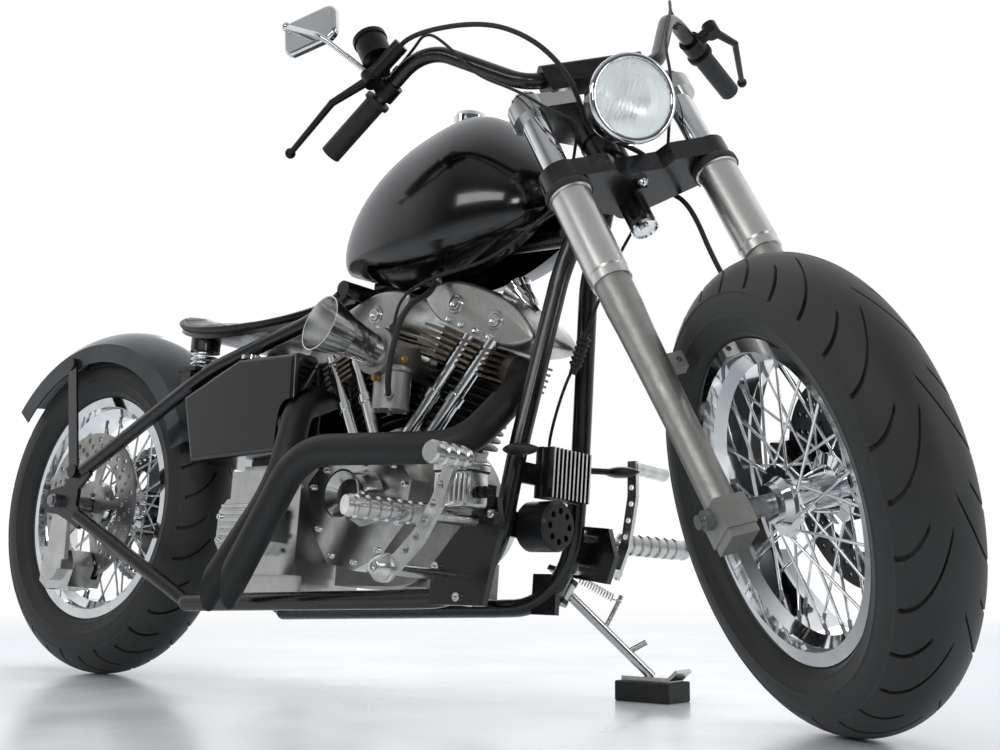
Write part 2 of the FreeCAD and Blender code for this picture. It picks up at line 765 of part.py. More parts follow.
def head(lean):
    """Alloy cylinder head: finned block with an inlet boss and an exhaust boss."""
    low = size("barrel_top") + size("seat_gap")
    high = size("rocker_base") - size("seat_gap")
    half = size("head_half_width")
    shapes = [cylinder_block(lean, -52, 58, -54, 54, low, high)]
    count = int(size("head_fins"))
    pitch = (high - low) / count
    for i in range(count):
        z = low + pitch * i
        shapes.append(cylinder_block(lean, -76 + i, half, -half + 4, half - 4, z, z + 4))
    exhaust_at = on_cylinder(lean, PORT_HEIGHT, 50, -18)
    exhaust_to = on_cylinder(lean, PORT_HEIGHT, 96.7, -18)
    shapes.append(rod(tuple(exhaust_at), tuple(exhaust_to), 24.5))
    return fuse(shapes).common(half_space(lean))


def rocker_box(lean):
    """Rocker cover with sloped ends, rounded along its edges, and two shaft plugs."""
    outline = [(-134, 338), (-58, 377), (62, 377), (150, 338), (72, size("rocker_base")),
               (-62, size("rocker_base"))]
    half = size("rocker_half_width")
    corners = [on_cylinder(lean, along, across, -half) for across, along in outline]
    corners.append(corners[0])
    body = Part.Face(Part.makePolygon(corners)).extrude(Vector(0, 2 * half, 0))
    long_edges = [edge for edge in body.Edges if abs(edge.tangentAt(edge.FirstParameter).y) > 0.99]
    body = body.makeFillet(11, long_edges)
    plugs = []
    for across in (-42, 52):
        at = on_cylinder(lean, 338, across, -half)
        plugs.append(rod(tuple(at), (at.x, -half - 5, at.z), 15))
    return fuse([body] + plugs)


PUSHRODS = [((868, -88, 82), (972, -62, 252)), ((912, -88, 72), (1022, -62, 240)),
            ((812, -88, 82), (708, -62, 252)), ((768, -88, 72), (658, -62, 240))]
pushrod_room = Part.makeCompound([rod(low, high, size("pushrod_radius") + 4) for low, high in PUSHRODS])
barrels = Part.makeCompound([barrel(1).cut(pushrod_room), barrel(-1).cut(pushrod_room)])
heads = Part.makeCompound([head(1).cut(pushrod_room), head(-1).cut(pushrod_room)])
rocker_shapes = Part.makeCompound([rocker_box(1), rocker_box(-1)])
keep_shape("cylinders", barrels, BIKE)
keep_shape("cylinder_heads", heads, BIKE)
keep_shape("rocker_boxes", rocker_shapes, BIKE)


def crankcase():
    """Split crankcase with two cylinder decks, a sump and the left-hand drive housing."""
    half = size("case_half_width")
    across = Vector(0, 1, 0)
    shapes = [Part.makeCylinder(size("case_radius"), 2 * half, Vector(CRANK.x, -half, CRANK.z), across)]
    for lean in (-1, 1):
        deck = rod(tuple(on_cylinder(lean, 40)), tuple(on_cylinder(lean, size("barrel_base") + 22 - 0.3)), 64)
        shapes.append(deck.common(half_space(lean).fuse(box(CRANK.x - 80, CRANK.x + 80, -80, 80, -60, 76))))
    shapes.append(box(CRANK.x - 150, CRANK.x + 118, -44, 44, -142, -100))
    shapes.append(box(CRANK.x + 84, CRANK.x + 108, -70, 70, -152, -96))
    shapes.append(Part.makeCylinder(74, 42, Vector(CRANK.x, half, CRANK.z), across))
    shapes.append(Part.makeCylinder(size("case_radius") + 5, 6, Vector(CRANK.x, -3, CRANK.z), across))
    return fuse(shapes)


def gearcase_cover():
    """Cam cover on the right with its cone, tappet blocks and a bright cup at its end."""
    half = size("case_half_width") + 0.3
    outline = [(668, 20), (700, 52), (800, 62), (872, 56), (905, 20), (895, -50), (850, -100), (790, -122),
               (730, -110), (690, -60)]
    plate = side_plate(outline, -half - 44, -half)
    cone = cone_between((800, -half - 44, -6), (800, -half - 70, -6), 46, 37)
    cup = cone_between((800, -half - 70, -6), (800, -half - 92, -6), 30, 40)
    hollow = cone_between((800, -half - 76, -6), (800, -half - 92.5, -6), 26, 37)
    return fuse([plate, cone, cup]).cut(hollow)


gearcase_shape = gearcase_cover()

def pushrod_tubes():
    """Four bright telescopic tubes between the tappet blocks and the rocker boxes."""
    shapes = []
    radius = size("pushrod_radius")
    for low, high in PUSHRODS:
        low = Vector(*low)
        high = Vector(*high)
        middle = low + (high - low) * 0.45
        shapes.append(fuse([
            rod(tuple(low), tuple(middle), radius + 2),
            rod(tuple(middle - (high - low) * 0.04), tuple(middle + (high - low) * 0.04), radius + 4),
            rod(tuple(middle), tuple(high), radius),
        ]))
    return Part.makeCompound(shapes)


def tappet_blocks():
    """The two blocks at the foot of the pushrod tubes."""
    shapes = []
    for low, high in ((0, 1), (2, 3)):
        first = Vector(*PUSHRODS[low][0])
        second = Vector(*PUSHRODS[high][0])
        x_low = min(first.x, second.x) - 17
        x_high = max(first.x, second.x) + 17
        shapes.append(box(x_low, x_high, -104, -64, 40, 68))
    return shapes


pushrods = pushrod_tubes().cut(rocker_shapes)
case_shape = fuse([crankcase()] + tappet_blocks()).cut(pushrods).cut(gearcase_shape)
keep_shape("pushrod_tubes", pushrods, BIKE)
keep_shape("crankcase", max(case_shape.Solids, key=lambda solid: solid.Volume), BIKE)


def carburettor():
    """Carburettor with its float bowl and the manifold from the vee."""
    body = rod((846, -72, 215), (848, -150, 221), 31)
    bowl = rod((856, -112, 130), (856, -112, 200), 30)
    manifold = rod((CRANK.x, -20, 212), (846, -74, 215), 22)
    left_leg = rod((CRANK.x - 40, -18, 214), (CRANK.x + 40, -18, 214), 20)
    flange = rod((847.6, -140, 220), (848, -150, 221), 38)
    trimmed = fuse([body, bowl, manifold, left_leg, flange]).cut(heads).cut(barrels)
    return max(trimmed.Solids, key=lambda solid: solid.Volume)


carb_shape = carburettor()
keep_shape("carburettor", carb_shape, BIKE)


def velocity_stack():
    """Bright trumpet on the carburettor's mouth."""
    start = Vector(848, -150.3, 221)
    end = Vector(828, -252, 246)
    length = (end - start).Length
    outline = [(21, 0), (27, 0), (27, 14), (29, 34), (33, 58), (39, 80), (46, length), (44, length),
               (37, 82), (30, 58), (25, 30)]
    stack = turned(outline, tuple(start), tuple(end - start)).cut(carb_shape)
    return max(stack.Solids, key=lambda solid: solid.Volume)


keep_shape("velocity_stack", velocity_stack(), BIKE)

EXHAUST_FRONT = [(570, -206, -230), (752, -200, 58), (1054, -152, 58),
                 tuple(on_cylinder(1, PORT_HEIGHT, 126, -18)), tuple(on_cylinder(1, PORT_HEIGHT, 97, -18))]
EXHAUST_REAR = [(480, -190, -242), (655, -150, 15), (640, -112, 150),
                tuple(on_cylinder(-1, PORT_HEIGHT, 128, -18)), tuple(on_cylinder(-1, PORT_HEIGHT, 97, -18))]


def exhaust(points, radii, x_cut):
    """A bent pipe with its end cut off upright."""
    pipe = tube(points, size("exhaust_radius"), radii, size("exhaust_radius") - size("exhaust_wall"))
    trimmed = pipe.cut(box(x_cut - 300, x_cut, -320, 0, -400, 200))
    return max(trimmed.Solids, key=lambda solid: solid.Volume)


exhausts = [exhaust(EXHAUST_FRONT, [105, 60, 28], 622), exhaust(EXHAUST_REAR, [200, 60, 29], 540)]
keep_shape("exhausts", Part.makeCompound(exhausts), BIKE)


def gearbox():
    """Four-speed gearbox with its lid and the output shaft."""
    body = box(460, 640, -92, 68, -130, 48)
    lid = box(475, 600, -78, 52, 48, 58)
    shaft = rod((SHAFT_X, 60, SHAFT_Z), (SHAFT_X, 99.7, SHAFT_Z), 14)
    foot = box(462, 636, -70, 60, -166, -130)
    line = size("chain_line")
    wall = size("sprocket_wall")
    outline = [(x + SHAFT_X, z + SHAFT_Z) for x, z in sprocket_outline(size("engine_sprocket_radius"), 24, 7)]
    sprocket = side_plate(outline, line - wall / 2, line + wall / 2)
    return fuse([body, lid, shaft, foot, sprocket])


gearbox_shape = gearbox().cut(rail_shape).cut(backbone_shape)
keep_shape("gearbox", max(gearbox_shape.Solids, key=lambda solid: solid.Volume), BIKE)


def gearbox_cover():
    """Ribbed bright end cover on the gearbox."""
    outline = [(462, -80), (478, -96), (570, -96), (592, -76), (596, -20), (580, -4), (484, -4), (464, -24)]
    plate = side_plate(outline, -118, -92.3)
    ribs = []
    for i in range(7):
        z = -88 + i * 12
        ribs.append(rod((474, -118, z), (584, -118, z), 4))
    return fuse([plate] + ribs)


def stadium(first, first_radius, last, last_radius, y_low, y_high):
    """A plate whose outline wraps two circles of (x, z) centres."""
    length = math.hypot(last[0] - first[0], last[1] - first[1])
    tilt = math.atan2(last[1] - first[1], last[0] - first[0])
    spread = math.acos((first_radius - last_radius) / length)
    points = []
    for side, radius, centre in ((1, first_radius, first), (1, last_radius, last), (-1, last_radius, last),
                                 (-1, first_radius, first)):
        angle = tilt + side * spread
        points.append(Vector(centre[0] + radius * math.cos(angle), y_low, centre[1] + radius * math.sin(angle)))
    nose = Vector(last[0] + last_radius * math.cos(tilt), y_low, last[1] + last_radius * math.sin(tilt))
    tail = Vector(first[0] - first_radius * math.cos(tilt), y_low, first[1] - first_radius * math.sin(tilt))
    edges = [Part.LineSegment(points[0], points[1]).toShape(), Part.Arc(points[1], nose, points[2]).toShape(),
             Part.LineSegment(points[2], points[3]).toShape(), Part.Arc(points[3], tail, points[0]).toShape()]
    return Part.Face(Part.Wire(edges)).extrude(Vector(0, y_high - y_low, 0))


def primary_cover():
    """Drive cover on the left from the crank to the clutch."""
    cover = stadium((SHAFT_X, SHAFT_Z), 98, (CRANK.x, CRANK.z), 82, 100, 148)
    rounded = cover.makeFillet(14, [edge for edge in cover.Edges if abs(edge.CenterOfMass.y - 148) < 0.1])
    dome = cone_between((SHAFT_X, 147, SHAFT_Z), (SHAFT_X, 158, SHAFT_Z), 74, 66)
    return fuse([rounded, dome])


keep_shape("engine_covers", Part.makeCompound([gearcase_shape, gearbox_cover(), primary_cover()]), BIKE)


# Bodywork: fuel tank, seat, oil tank and rear fender.

def smooth_loop(points):
    """A closed smooth wire through points."""
    curve = Part.BSplineCurve()
    curve.interpolate([Vector(*p) for p in points], PeriodicFlag=True)
    return Part.Wire(curve.toShape())


def tank_section(x, low, high, half):
    """One cross-section of the fuel tank: a domed top and tucked-in lower edges."""
    mid = low + (high - low) * 0.4
    points = [
        (x, 0, high), (x, half * 0.5, high - (high - low) * 0.1), (x, half * 0.86, high - (high - low) * 0.33),
        (x, half, mid), (x, half * 0.88, low + (high - low) * 0.1), (x, half * 0.5, low),
        (x, -half * 0.5, low), (x, -half * 0.88, low + (high - low) * 0.1), (x, -half, mid),
        (x, -half * 0.86, high - (high - low) * 0.33), (x, -half * 0.5, high - (high - low) * 0.1),
    ]
    return smooth_loop(points)


TANK_STATIONS = [(648, 396, 424, 26), (668, 386, 480, 62), (720, 374, 556, 96), (790, 360, 608, 120),
                 (866, 358, 634, 132), (944, 364, 636, 134), (1010, 384, 600, 120), (1066, 412, 548, 88),
                 (1098, 446, 508, 48)]


def fuel_tank():
    """Tank with a tunnel for the frame tube and two saddles that rest on the tube."""
    body = Part.makeLoft([tank_section(*row) for row in TANK_STATIONS], True, False)
    tunnel = side_plate([(630, 300), (630, 404), (700, 404), (860, 430), (1050, 492), (1120, 532), (1120, 300)],
                        -38, 38)
    saddles = [box(712, 740, -37, 37, 378, 410), box(1000, 1030, -37, 37, 440, 484)]
    spine = tube(BACKBONE, size("backbone_radius"))
    body = body.cut(tunnel)
    for saddle in saddles:
        body = body.fuse(saddle.cut(spine))
    body = body.cut(rod((880, 0, 622), (880, 0, 700), 22.3))
    return max(body.Solids, key=lambda solid: solid.Volume)


tank_shape = fuel_tank()
keep_shape("fuel_tank", tank_shape, BIKE)

cap_outline = [(0, 622.3), (22, 622.3), (22, 630), (size("cap_radius"), 630), (size("cap_radius"), 648),
               (size("cap_radius") - 4, 655), (0, 657)]
fuel_cap = turned(cap_outline, (880, 0, 0), (0, 0, 1)).cut(tank_shape)
fuel_cap = max(fuel_cap.Solids, key=lambda solid: solid.Volume)

SEAT_STATIONS = [(246, 346, 52), (262, 337, 92), (300, 322, 118), (350, 309, 131), (405, 303, 134), (470, 304, 122),
                 (530, 314, 96), (590, 331, 66), (640, 350, 48), (668, 359, 34)]


def seat_section(x, centre, half):
    """A thin cushion section: a flat underside and a domed top."""
    low = centre - 8
    left = Vector(x, half * 0.94, low)
    right = Vector(x, -half * 0.94, low)
    dome = Part.BSplineCurve()
    dome.interpolate([left, Vector(x, half, centre + 2), Vector(x, half * 0.84, centre + 11),
                      Vector(x, half * 0.4, centre + 14), Vector(x, 0, centre + 12), Vector(x, -half * 0.4, centre + 14),
                      Vector(x, -half * 0.84, centre + 11), Vector(x, -half, centre + 2), right])
    return Part.Wire([dome.toShape(), Part.LineSegment(right, left).toShape()])


def pan_section(x, centre, half):
    """A flat section of the steel pan under the cushion."""
    low = centre - 16
    high = centre - 8.2
    reach = half * 0.9
    return Part.makePolygon([Vector(x, reach, low), Vector(x, reach, high), Vector(x, -reach, high),
                             Vector(x, -reach, low), Vector(x, reach, low)])


def seat_pan():
    """Steel pan with two spring seats and a nose block that rests on the frame tube."""
    pan = Part.makeLoft([pan_section(*row) for row in SEAT_STATIONS], True, False)
    pads = []
    for side in (-1, 1):
        pads.append(rod((345, side * 90, 271), (345, side * 90, 298), 27))
    block = box(604, 634, -12, 12, 300, 322)
    return fuse([pan, block] + pads).cut(backbone_shape)


seat_shape = Part.makeLoft([seat_section(*row) for row in SEAT_STATIONS], True, False)
keep_shape("seat", seat_shape, BIKE)
pan_shape = seat_pan().cut(seat_shape)
keep_shape("seat_pan", max(pan_shape.Solids, key=lambda solid: solid.Volume), BIKE)


def coil(centre, low, high, radius, wire, turns):
    """A coil spring whose first and last turns stand between two flat faces."""
    rise = high - low - 2 * wire
    path = Part.makeHelix(rise / turns, rise, radius)
    profile = Part.Wire(Part.Circle(Vector(radius, 0, 0), Vector(0, 1, 0), wire).toShape())
    spring = path.makePipeShell([profile], True, True)
    spring.translate(Vector(centre[0], centre[1], low + wire))
    return spring


springs = [coil((345, side * 90), 238.1, 270.9, 22, 3.2, 3) for side in (-1, 1)]
keep_shape("seat_springs", Part.makeCompound(springs), BIKE)


def spring_seats():
    """Two brackets that carry the springs on the upper stays."""
    shapes = []
    for side in (-1, 1):
        y_low = min(side * 62, side * 130)
        plate = box(318, 372, y_low, y_low + 68, 230, 238)
        web_low = min(side * 108, side * 128)
        web = box(332, 358, web_low, web_low + 20, 196, 231)
        shapes.append(fuse([plate, web]))
    return shapes




def oil_tank():
    """Flat-sided oil tank, open at the front round the frame post, clear of chain and pipe."""
    outline = [(356, 180), (500, 238), (648, 238), (654, 84), (640, 72), (392, 62)]
    half = size("oil_tank_half_width")
    body = side_plate(outline, -half, half)
    edges = [edge for edge in body.Edges if abs(abs(edge.CenterOfMass.y) - half) < 0.1]
    body = body.makeFillet(9, edges)
    body = body.cut(box(528, 760, -86, 86, 0, 300)).cut(box(340, 760, 60, 150, 0, 126))
    body = body.cut(tube(EXHAUST_REAR, size("exhaust_radius") + 8, [200, 60, 34]))
    body = max(body.Solids, key=lambda solid: solid.Volume)
    foot = box(470, 510, -60, -20, 58.2, 90)
    return fuse([body, foot])


oil_tank_shape = oil_tank()
keep_shape("oil_tank", oil_tank_shape, BIKE)
oil_cap = turned([(0, 238.2), (17, 238.2), (17, 245), (14, 247), (0, 247)], (512, -119, 0), (0, 0, 1))
keep_shape("filler_caps", Part.makeCompound([fuel_cap, oil_cap]), BIKE)


def fender():
    """Rear fender: a rounded channel bent round the tyre."""
    outer = size("fender_radius") + size("fender_wall")
    inner = size("fender_radius")
    half = size("fender_half_width")
    wall = size("fender_wall")
    skirt = 282
    shoulder = 318
    edges = [
        Part.LineSegment(Vector(skirt, -half, 0), Vector(shoulder, -half, 0)).toShape(),
        Part.Arc(Vector(shoulder, -half, 0), Vector(outer, 0, 0), Vector(shoulder, half, 0)).toShape(),
        Part.LineSegment(Vector(shoulder, half, 0), Vector(skirt, half, 0)).toShape(),
        Part.LineSegment(Vector(skirt, half, 0), Vector(skirt, half - wall, 0)).toShape(),
        Part.LineSegment(Vector(skirt, half - wall, 0), Vector(shoulder, half - wall, 0)).toShape(),
        Part.Arc(Vector(shoulder, half - wall, 0), Vector(inner, 0, 0), Vector(shoulder, wall - half, 0)).toShape(),
        Part.LineSegment(Vector(shoulder, wall - half, 0), Vector(skirt, wall - half, 0)).toShape(),
        Part.LineSegment(Vector(skirt, wall - half, 0), Vector(skirt, -half, 0)).toShape(),
    ]
    face = Part.Face(Part.Wire(edges))
    face.rotate(Vector(0, 0, 0), Vector(0, 1, 0), -20)
    return face.revolve(Vector(0, 0, 0), Vector(0, 1, 0), -122)


fender_shape = fender()
keep_shape("rear_fender", fender_shape, BIKE)


def flat_bar(start, end, width, thick, wide):
    """A flat bar between two points; wide is the way its broad side runs."""
    start = Vector(*start)
    run = Vector(*end) - start
    bar = Part.makeBox(width, thick, run.Length, Vector(-width / 2, -thick / 2, 0))
    bar.Placement = Placement(start, Rotation(Vector(*wide), Vector(0, 0, 0), run, "ZXY"))
    return bar


def fender_struts():
    """Two flat bars from the axle plates to the fender's sides."""
    shapes = []
    for side in (-1, 1):
        low = (46, side * 139, 56)
        high = (-78, side * 87, 283)
        bar = flat_bar(low, high, 24, 5, (1, 0, 0))
        pads = [rod((46, side * (PLATE_OUTER - 3), 56), (46, side * (PLATE_OUTER + 9), 56), 13),
                rod((-78, side * 84.2, 283), (-78, side * 94, 283), 13)]
        strut = fuse([bar] + pads).cut(fender_shape)
        shapes.append(max(strut.Solids, key=lambda solid: solid.Volume))
    return shapes


stay_sides = []
for plate, stay_tube, strut, bracket in zip(plates, sides(stay), fender_struts(), spring_seats()):
    stay_sides.append(fuse([plate, stay_tube, strut, bracket]))
keep_shape("frame_stays", Part.makeCompound(stay_sides), BIKE)


# Fork and bars, in the fork frame.

LEG_X = size("fork_offset")
LEG_Y = size("leg_spacing") / 2


def leg_rods(radius, low, high):
    """A round rod on each leg's line."""
    return [rod((LEG_X, side * LEG_Y, low), (LEG_X, side * LEG_Y, high), radius) for side in (-1, 1)]


def fork_tubes():
    """The two plated tubes with their top caps."""
    shapes = []
    for side in (-1, 1):
        tube_part = rod((LEG_X, side * LEG_Y, 230), (LEG_X, side * LEG_Y, 738), size("fork_tube_radius"))
        cap = rod((LEG_X, side * LEG_Y, 733), (LEG_X, side * LEG_Y, 745), 19)
        shapes.append(fuse([tube_part, cap]))
    return shapes


def slider(side):
    """Lower leg: tapered casting with an axle clamp at its foot."""
    y = side * LEG_Y
    top = size("slider_top")
    widest = size("slider_radius")
    outline = [(0, -26), (22, -26), (22, 150), (25, 300), (widest, 344), (widest, top), (0, top)]
    leg = turned(outline, (LEG_X, y, 0), (0, 0, 1))
    clamp = box(LEG_X - 30, LEG_X + 30, y - 22, y + 22, -30, 14)
    cap = box(LEG_X - 27, LEG_X + 27, y - 20, y + 20, -42, -30)
    shapes = [leg, clamp, cap]
    if side > 0:
        shapes.append(box(LEG_X - 46, LEG_X, y - 16, y - 4, 30, 56))
        shapes.append(box(LEG_X - 46, LEG_X, y - 16, y - 4, 92, 118))
    else:
        shapes.append(box(LEG_X - 9, LEG_X + 9, y + 4, y + 45, 224, 250))
    body = fuse(shapes)
    cuts = [rod((LEG_X, y - 60, 0), (LEG_X, y + 60, 0), size("axle_radius") + size("running_gap")),
            rod((LEG_X, y, 229.7), (LEG_X, y, 400), size("fork_tube_radius"))]
    if side > 0:
        for z in (43, 105):
            cuts.append(rod((LEG_X - 36, y - 30, z), (LEG_X - 36, y + 10, z), size("lug_hole_radius")))
    else:
        cuts.append(rod((LEG_X - 20, y + 36, 237), (LEG_X + 20, y + 36, 237), size("lug_hole_radius")))
    return body.cut(Part.makeCompound(cuts))


def fork_covers():
    """Bright covers over the tubes, with a collar at the top."""
    bore = "<<Sizes>>.fork_tube_radius"
    cover = "<<Sizes>>.fork_cover_radius"
    low = "<<Sizes>>.slider_top + <<Sizes>>.seat_gap"
    high = "<<Sizes>>.lower_tree_base - 0.2"
    outline = [(bore, low), (cover + " - 1", low), (cover + " - 1", low + " + 14"), (cover, low + " + 18"),
               (cover, high + " - 14"), (cover + " + 3", high + " - 12"), (cover + " + 3", high), (bore, high)]
    bodies = []
    for side, name in ((-1, "right_fork_cover"), (1, "left_fork_cover")):
        body = turned_body(name, outline)
        body.Placement = Placement(Vector(LEG_X, side * LEG_Y, 0), Rotation(Vector(1, 0, 0), 90))
        bodies.append(body)
    pair = doc.addObject("Part::Compound", "fork_covers")
    pair.Links = bodies
    doc.recompute()
    return pair


keep_shape("fork_tubes", Part.makeCompound(fork_tubes()), FORK)
keep_shape("fork_sliders", Part.makeCompound([slider(-1), slider(1)]), FORK)
keep(fork_covers(), "fork_covers", FORK)


def tree(low, wall, stem_boss, leg_boss, front_notch):
    """A fork crown: a plate from the steering stem to both legs."""
    outline = [(-stem_boss * 0.5, -stem_boss), (LEG_X - 24, -LEG_Y - leg_boss * 0.8), (LEG_X + leg_boss - 2, -LEG_Y - 8),
               (LEG_X + leg_boss - 2, -50), (front_notch, -34), (front_notch, 34), (LEG_X + leg_boss - 2, 50),
               (LEG_X + leg_boss - 2, LEG_Y + 8), (LEG_X - 24, LEG_Y + leg_boss * 0.8), (-stem_boss * 0.5, stem_boss)]
    shapes = [flat_plate(outline, low, low + wall), rod((0, 0, low), (0, 0, low + wall), stem_boss)]
    shapes += leg_rods(leg_boss, low, low + wall)
    return fuse(shapes)


def lower_tree():
    """Lower crown with the steering stem and a cup under it."""
    low = size("lower_tree_base")
    wall = size("lower_tree_wall")
    body = tree(low, wall, 32, 32, 74)
    stem = rod((0, 0, low - 44), (0, 0, size("upper_tree_base") + size("upper_tree_wall") + 10), size("stem_radius"))
    cup = turned([(0, low - 44), (17, low - 44), (21, low - 38), (21, low), (0, low)], (0, 0, 0), (0, 0, 1))
    lug = box(30, 48, -9, 9, low - 10, low + 2)
    body = fuse([body, stem, cup, lug])
    return body.cut(Part.makeCompound(leg_rods(size("fork_tube_radius"), low - 1, low + wall + 1)))


def upper_tree():
    """Polished upper crown with the stem nut's seat and two risers."""
    low = size("upper_tree_base")
    wall = size("upper_tree_wall")
    body = tree(low, wall, 30, 31, 44)
    holes = leg_rods(size("fork_tube_radius"), low - 1, low + wall + 20)
    holes.append(rod((0, 0, low - 1), (0, 0, low + wall + 20), size("stem_radius")))
    return body.cut(Part.makeCompound(holes))


BAR_CENTRE = (74, 0, 770)
BAR_HALF = [(74, 112, 770), (20, 215, 925), (-149, 365, 890)]


def bar_path():
    """Corner points of the handlebar, from its right end to its left end."""
    right = [(x, -y, z) for x, y, z in reversed(BAR_HALF)]
    return right + BAR_HALF


bar_shape = tube(bar_path(), size("bar_radius"), [80, 50, 50, 80])


def riser_clamp():
    """One-piece clamp that holds the bar's straight middle run over the upper crown."""
    top = size("upper_tree_base") + size("upper_tree_wall")
    body = box(BAR_CENTRE[0] - 20, BAR_CENTRE[0] + 18, -85, 85, top, BAR_CENTRE[2] + 20)
    long_edges = [edge for edge in body.Edges if abs(edge.tangentAt(edge.FirstParameter).y) > 0.99
                  and edge.CenterOfMass.z > BAR_CENTRE[2]]
    body = body.makeFillet(10, long_edges)
    window = box(BAR_CENTRE[0] - 30, BAR_CENTRE[0] + 30, -44, 44, top - 1, BAR_CENTRE[2] - 22)
    return body.cut(window).cut(bar_shape)


keep_shape("lower_tree", lower_tree(), FORK)
keep_shape("upper_tree", fuse([upper_tree(), riser_clamp()]), FORK)
keep_shape("handlebar", bar_shape, FORK)


def bar_point(share, side):
    """A point on the bar's outer run; share goes from its bend to its end."""
    bend = Vector(*BAR_HALF[1])
    end = Vector(*BAR_HALF[2])
    spot = bend + (end - bend) * share
    return Vector(spot.x, side * spot.y, spot.z)


def grips():
    """Two ribbed rubber grips, closed at the bar's ends."""
    shapes = []
    for side in (-1, 1):
        start = bar_point(0.5, side)
        end = bar_point(1.03, side)
        grip = rod(tuple(start), tuple(end), size("grip_radius"))
        flange = rod(tuple(start), tuple(bar_point(0.53, side)), size("grip_radius") + 5)
        shapes.append(fuse([grip, flange]).cut(bar_shape))
    return shapes


right_grip, left_grip = grips()
keep_shape("grips", Part.makeCompound([right_grip, left_grip]), FORK)


def hand_lever(side):
    """Perch, pivot and lever with a ball end."""
    y = side
    ball = Vector(-183, y * 424, 930)
    pivot = bar_point(0.40, side) + Vector(26, y * 30, 4)
    middle = bar_point(0.72, side) + Vector(38, y * 42, 16)
    clamp = rod(tuple(bar_point(0.34, side)), tuple(bar_point(0.46, side)), 19)
    arm = rod(tuple(bar_point(0.40, side)), tuple(pivot), 11)
    boss = rod(tuple(pivot + Vector(0, 0, -12)), tuple(pivot + Vector(0, 0, 12)), 13)
    first = cone_between(tuple(pivot), tuple(middle), 8, 6)
    knee = Part.makeSphere(6, middle)
    second = cone_between(tuple(middle), tuple(ball), 6, 5)
    knob = Part.makeSphere(9, ball)
    return [clamp, arm, boss, first, knee, second, knob]


def brake_lever():
    """Right-hand lever with a master cylinder and a round fluid reservoir."""
    shapes = hand_lever(-1)
    perch = bar_point(0.40, -1)
    mc_start = perch + Vector(30, -24, 8)
    mc_end = bar_point(0.12, -1) + Vector(26, -20, 12)
    shapes.append(rod(tuple(mc_start), tuple(mc_end), 13))
    pot_at = Vector(-12, -284, 0)
    shapes.append(rod((pot_at.x, pot_at.y, 915), (pot_at.x, pot_at.y, 946), 11))
    shapes.append(rod((pot_at.x, pot_at.y, 944), (pot_at.x, pot_at.y, 984), 26))
    shapes.append(rod((pot_at.x, pot_at.y, 984), (pot_at.x, pot_at.y, 992), 28))
    return fuse(shapes).cut(bar_shape)


def clutch_lever():
    """Left-hand lever and perch."""
    return fuse(hand_lever(1)).cut(bar_shape)


brake_lever_shape = brake_lever()
keep_shape("hand_levers", Part.makeCompound([brake_lever_shape, clutch_lever()]), FORK)


def mirror_arm():
    """Right-hand mirror: a bent stem that runs across the back of a rounded oblong head."""
    base = Vector(-22, -300, 920)
    centre = Vector(-47, -358, 1061)
    facing = Vector(-0.753, 0.657, -0.041)
    turn = Rotation(Vector(-0.638, -0.713, 0.29), Vector(0, 0, 0), facing, "ZXY")
    head = Part.makeBox(104, 68, 12, Vector(-52, -34, -8))
    corners = [edge for edge in head.Edges if abs(edge.Length - 12) < 0.01]
    head = head.makeFillet(19, corners)
    back = [edge for edge in head.Edges if abs(edge.CenterOfMass.z + 8) < 0.01]
    head = head.makeFillet(6, back)
    head.Placement = Placement(centre, turn)
    end = centre + turn.multVec(Vector(42, 22, -11))
    knee = (-4, -362, 1006)
    stem = tube([tuple(base), knee, tuple(end)], 4.5, [40])
    boss = rod(tuple(base + Vector(0, 0, -6)), tuple(base + Vector(0, 0, 10)), 9)
    ball = Part.makeSphere(8, end)
    return fuse([stem, boss, ball, head])


mirror_shape = mirror_arm().cut(brake_lever_shape).cut(right_grip).cut(bar_shape)
keep_shape("mirror", max(mirror_shape.Solids, key=lambda solid: solid.Volume), FORK)

LAMP_AXIS = Vector(math.cos(RAKE), 0, -math.sin(RAKE))
LAMP_FACE = Vector(145, 0, 645)


def headlight():
    """Round lamp shell with a rim and a domed glass, and its bracket on the lower crown."""
    radius = size("headlight_radius")
    shell = turned([(0, -92), (18, -91), (36, -84), (54, -62), (64, -34), (64, -8), (radius, -8), (radius, 0),
                    (radius - 6, 3), (radius - 9, 0), (0, 0)], tuple(LAMP_FACE), tuple(LAMP_AXIS))
    top = size("lower_tree_base") + size("lower_tree_wall")
    bracket = box(64, 88, -16, 16, top + 0.2, top + 44)
    return fuse([shell, bracket])


def lamp_glass():
    """Domed lens in the lamp's rim."""
    rim = "(<<Sizes>>.headlight_radius - 9.1)"
    outline = [("0", "0.05"), (rim, "0.05"), (rim + " * 0.93", "5"), (rim + " * 0.6", "12"), ("0", "15")]
    return turned_body("headlight_glass", outline)


LAMP_TURN = Placement(LAMP_FACE, Rotation(Vector(0, 1, 0), LAMP_AXIS))
keep_shape("headlight", headlight(), FORK)
keep(lamp_glass(), "headlight_glass", FORK * LAMP_TURN)

LEG_INNER = LEG_Y - 22
axle_body("front_axle", FRONT_WHEEL, LEG_Y + 42, LEG_Y + 22.2, HUB_FACE + size("seat_gap"), LEG_INNER - 0.2)


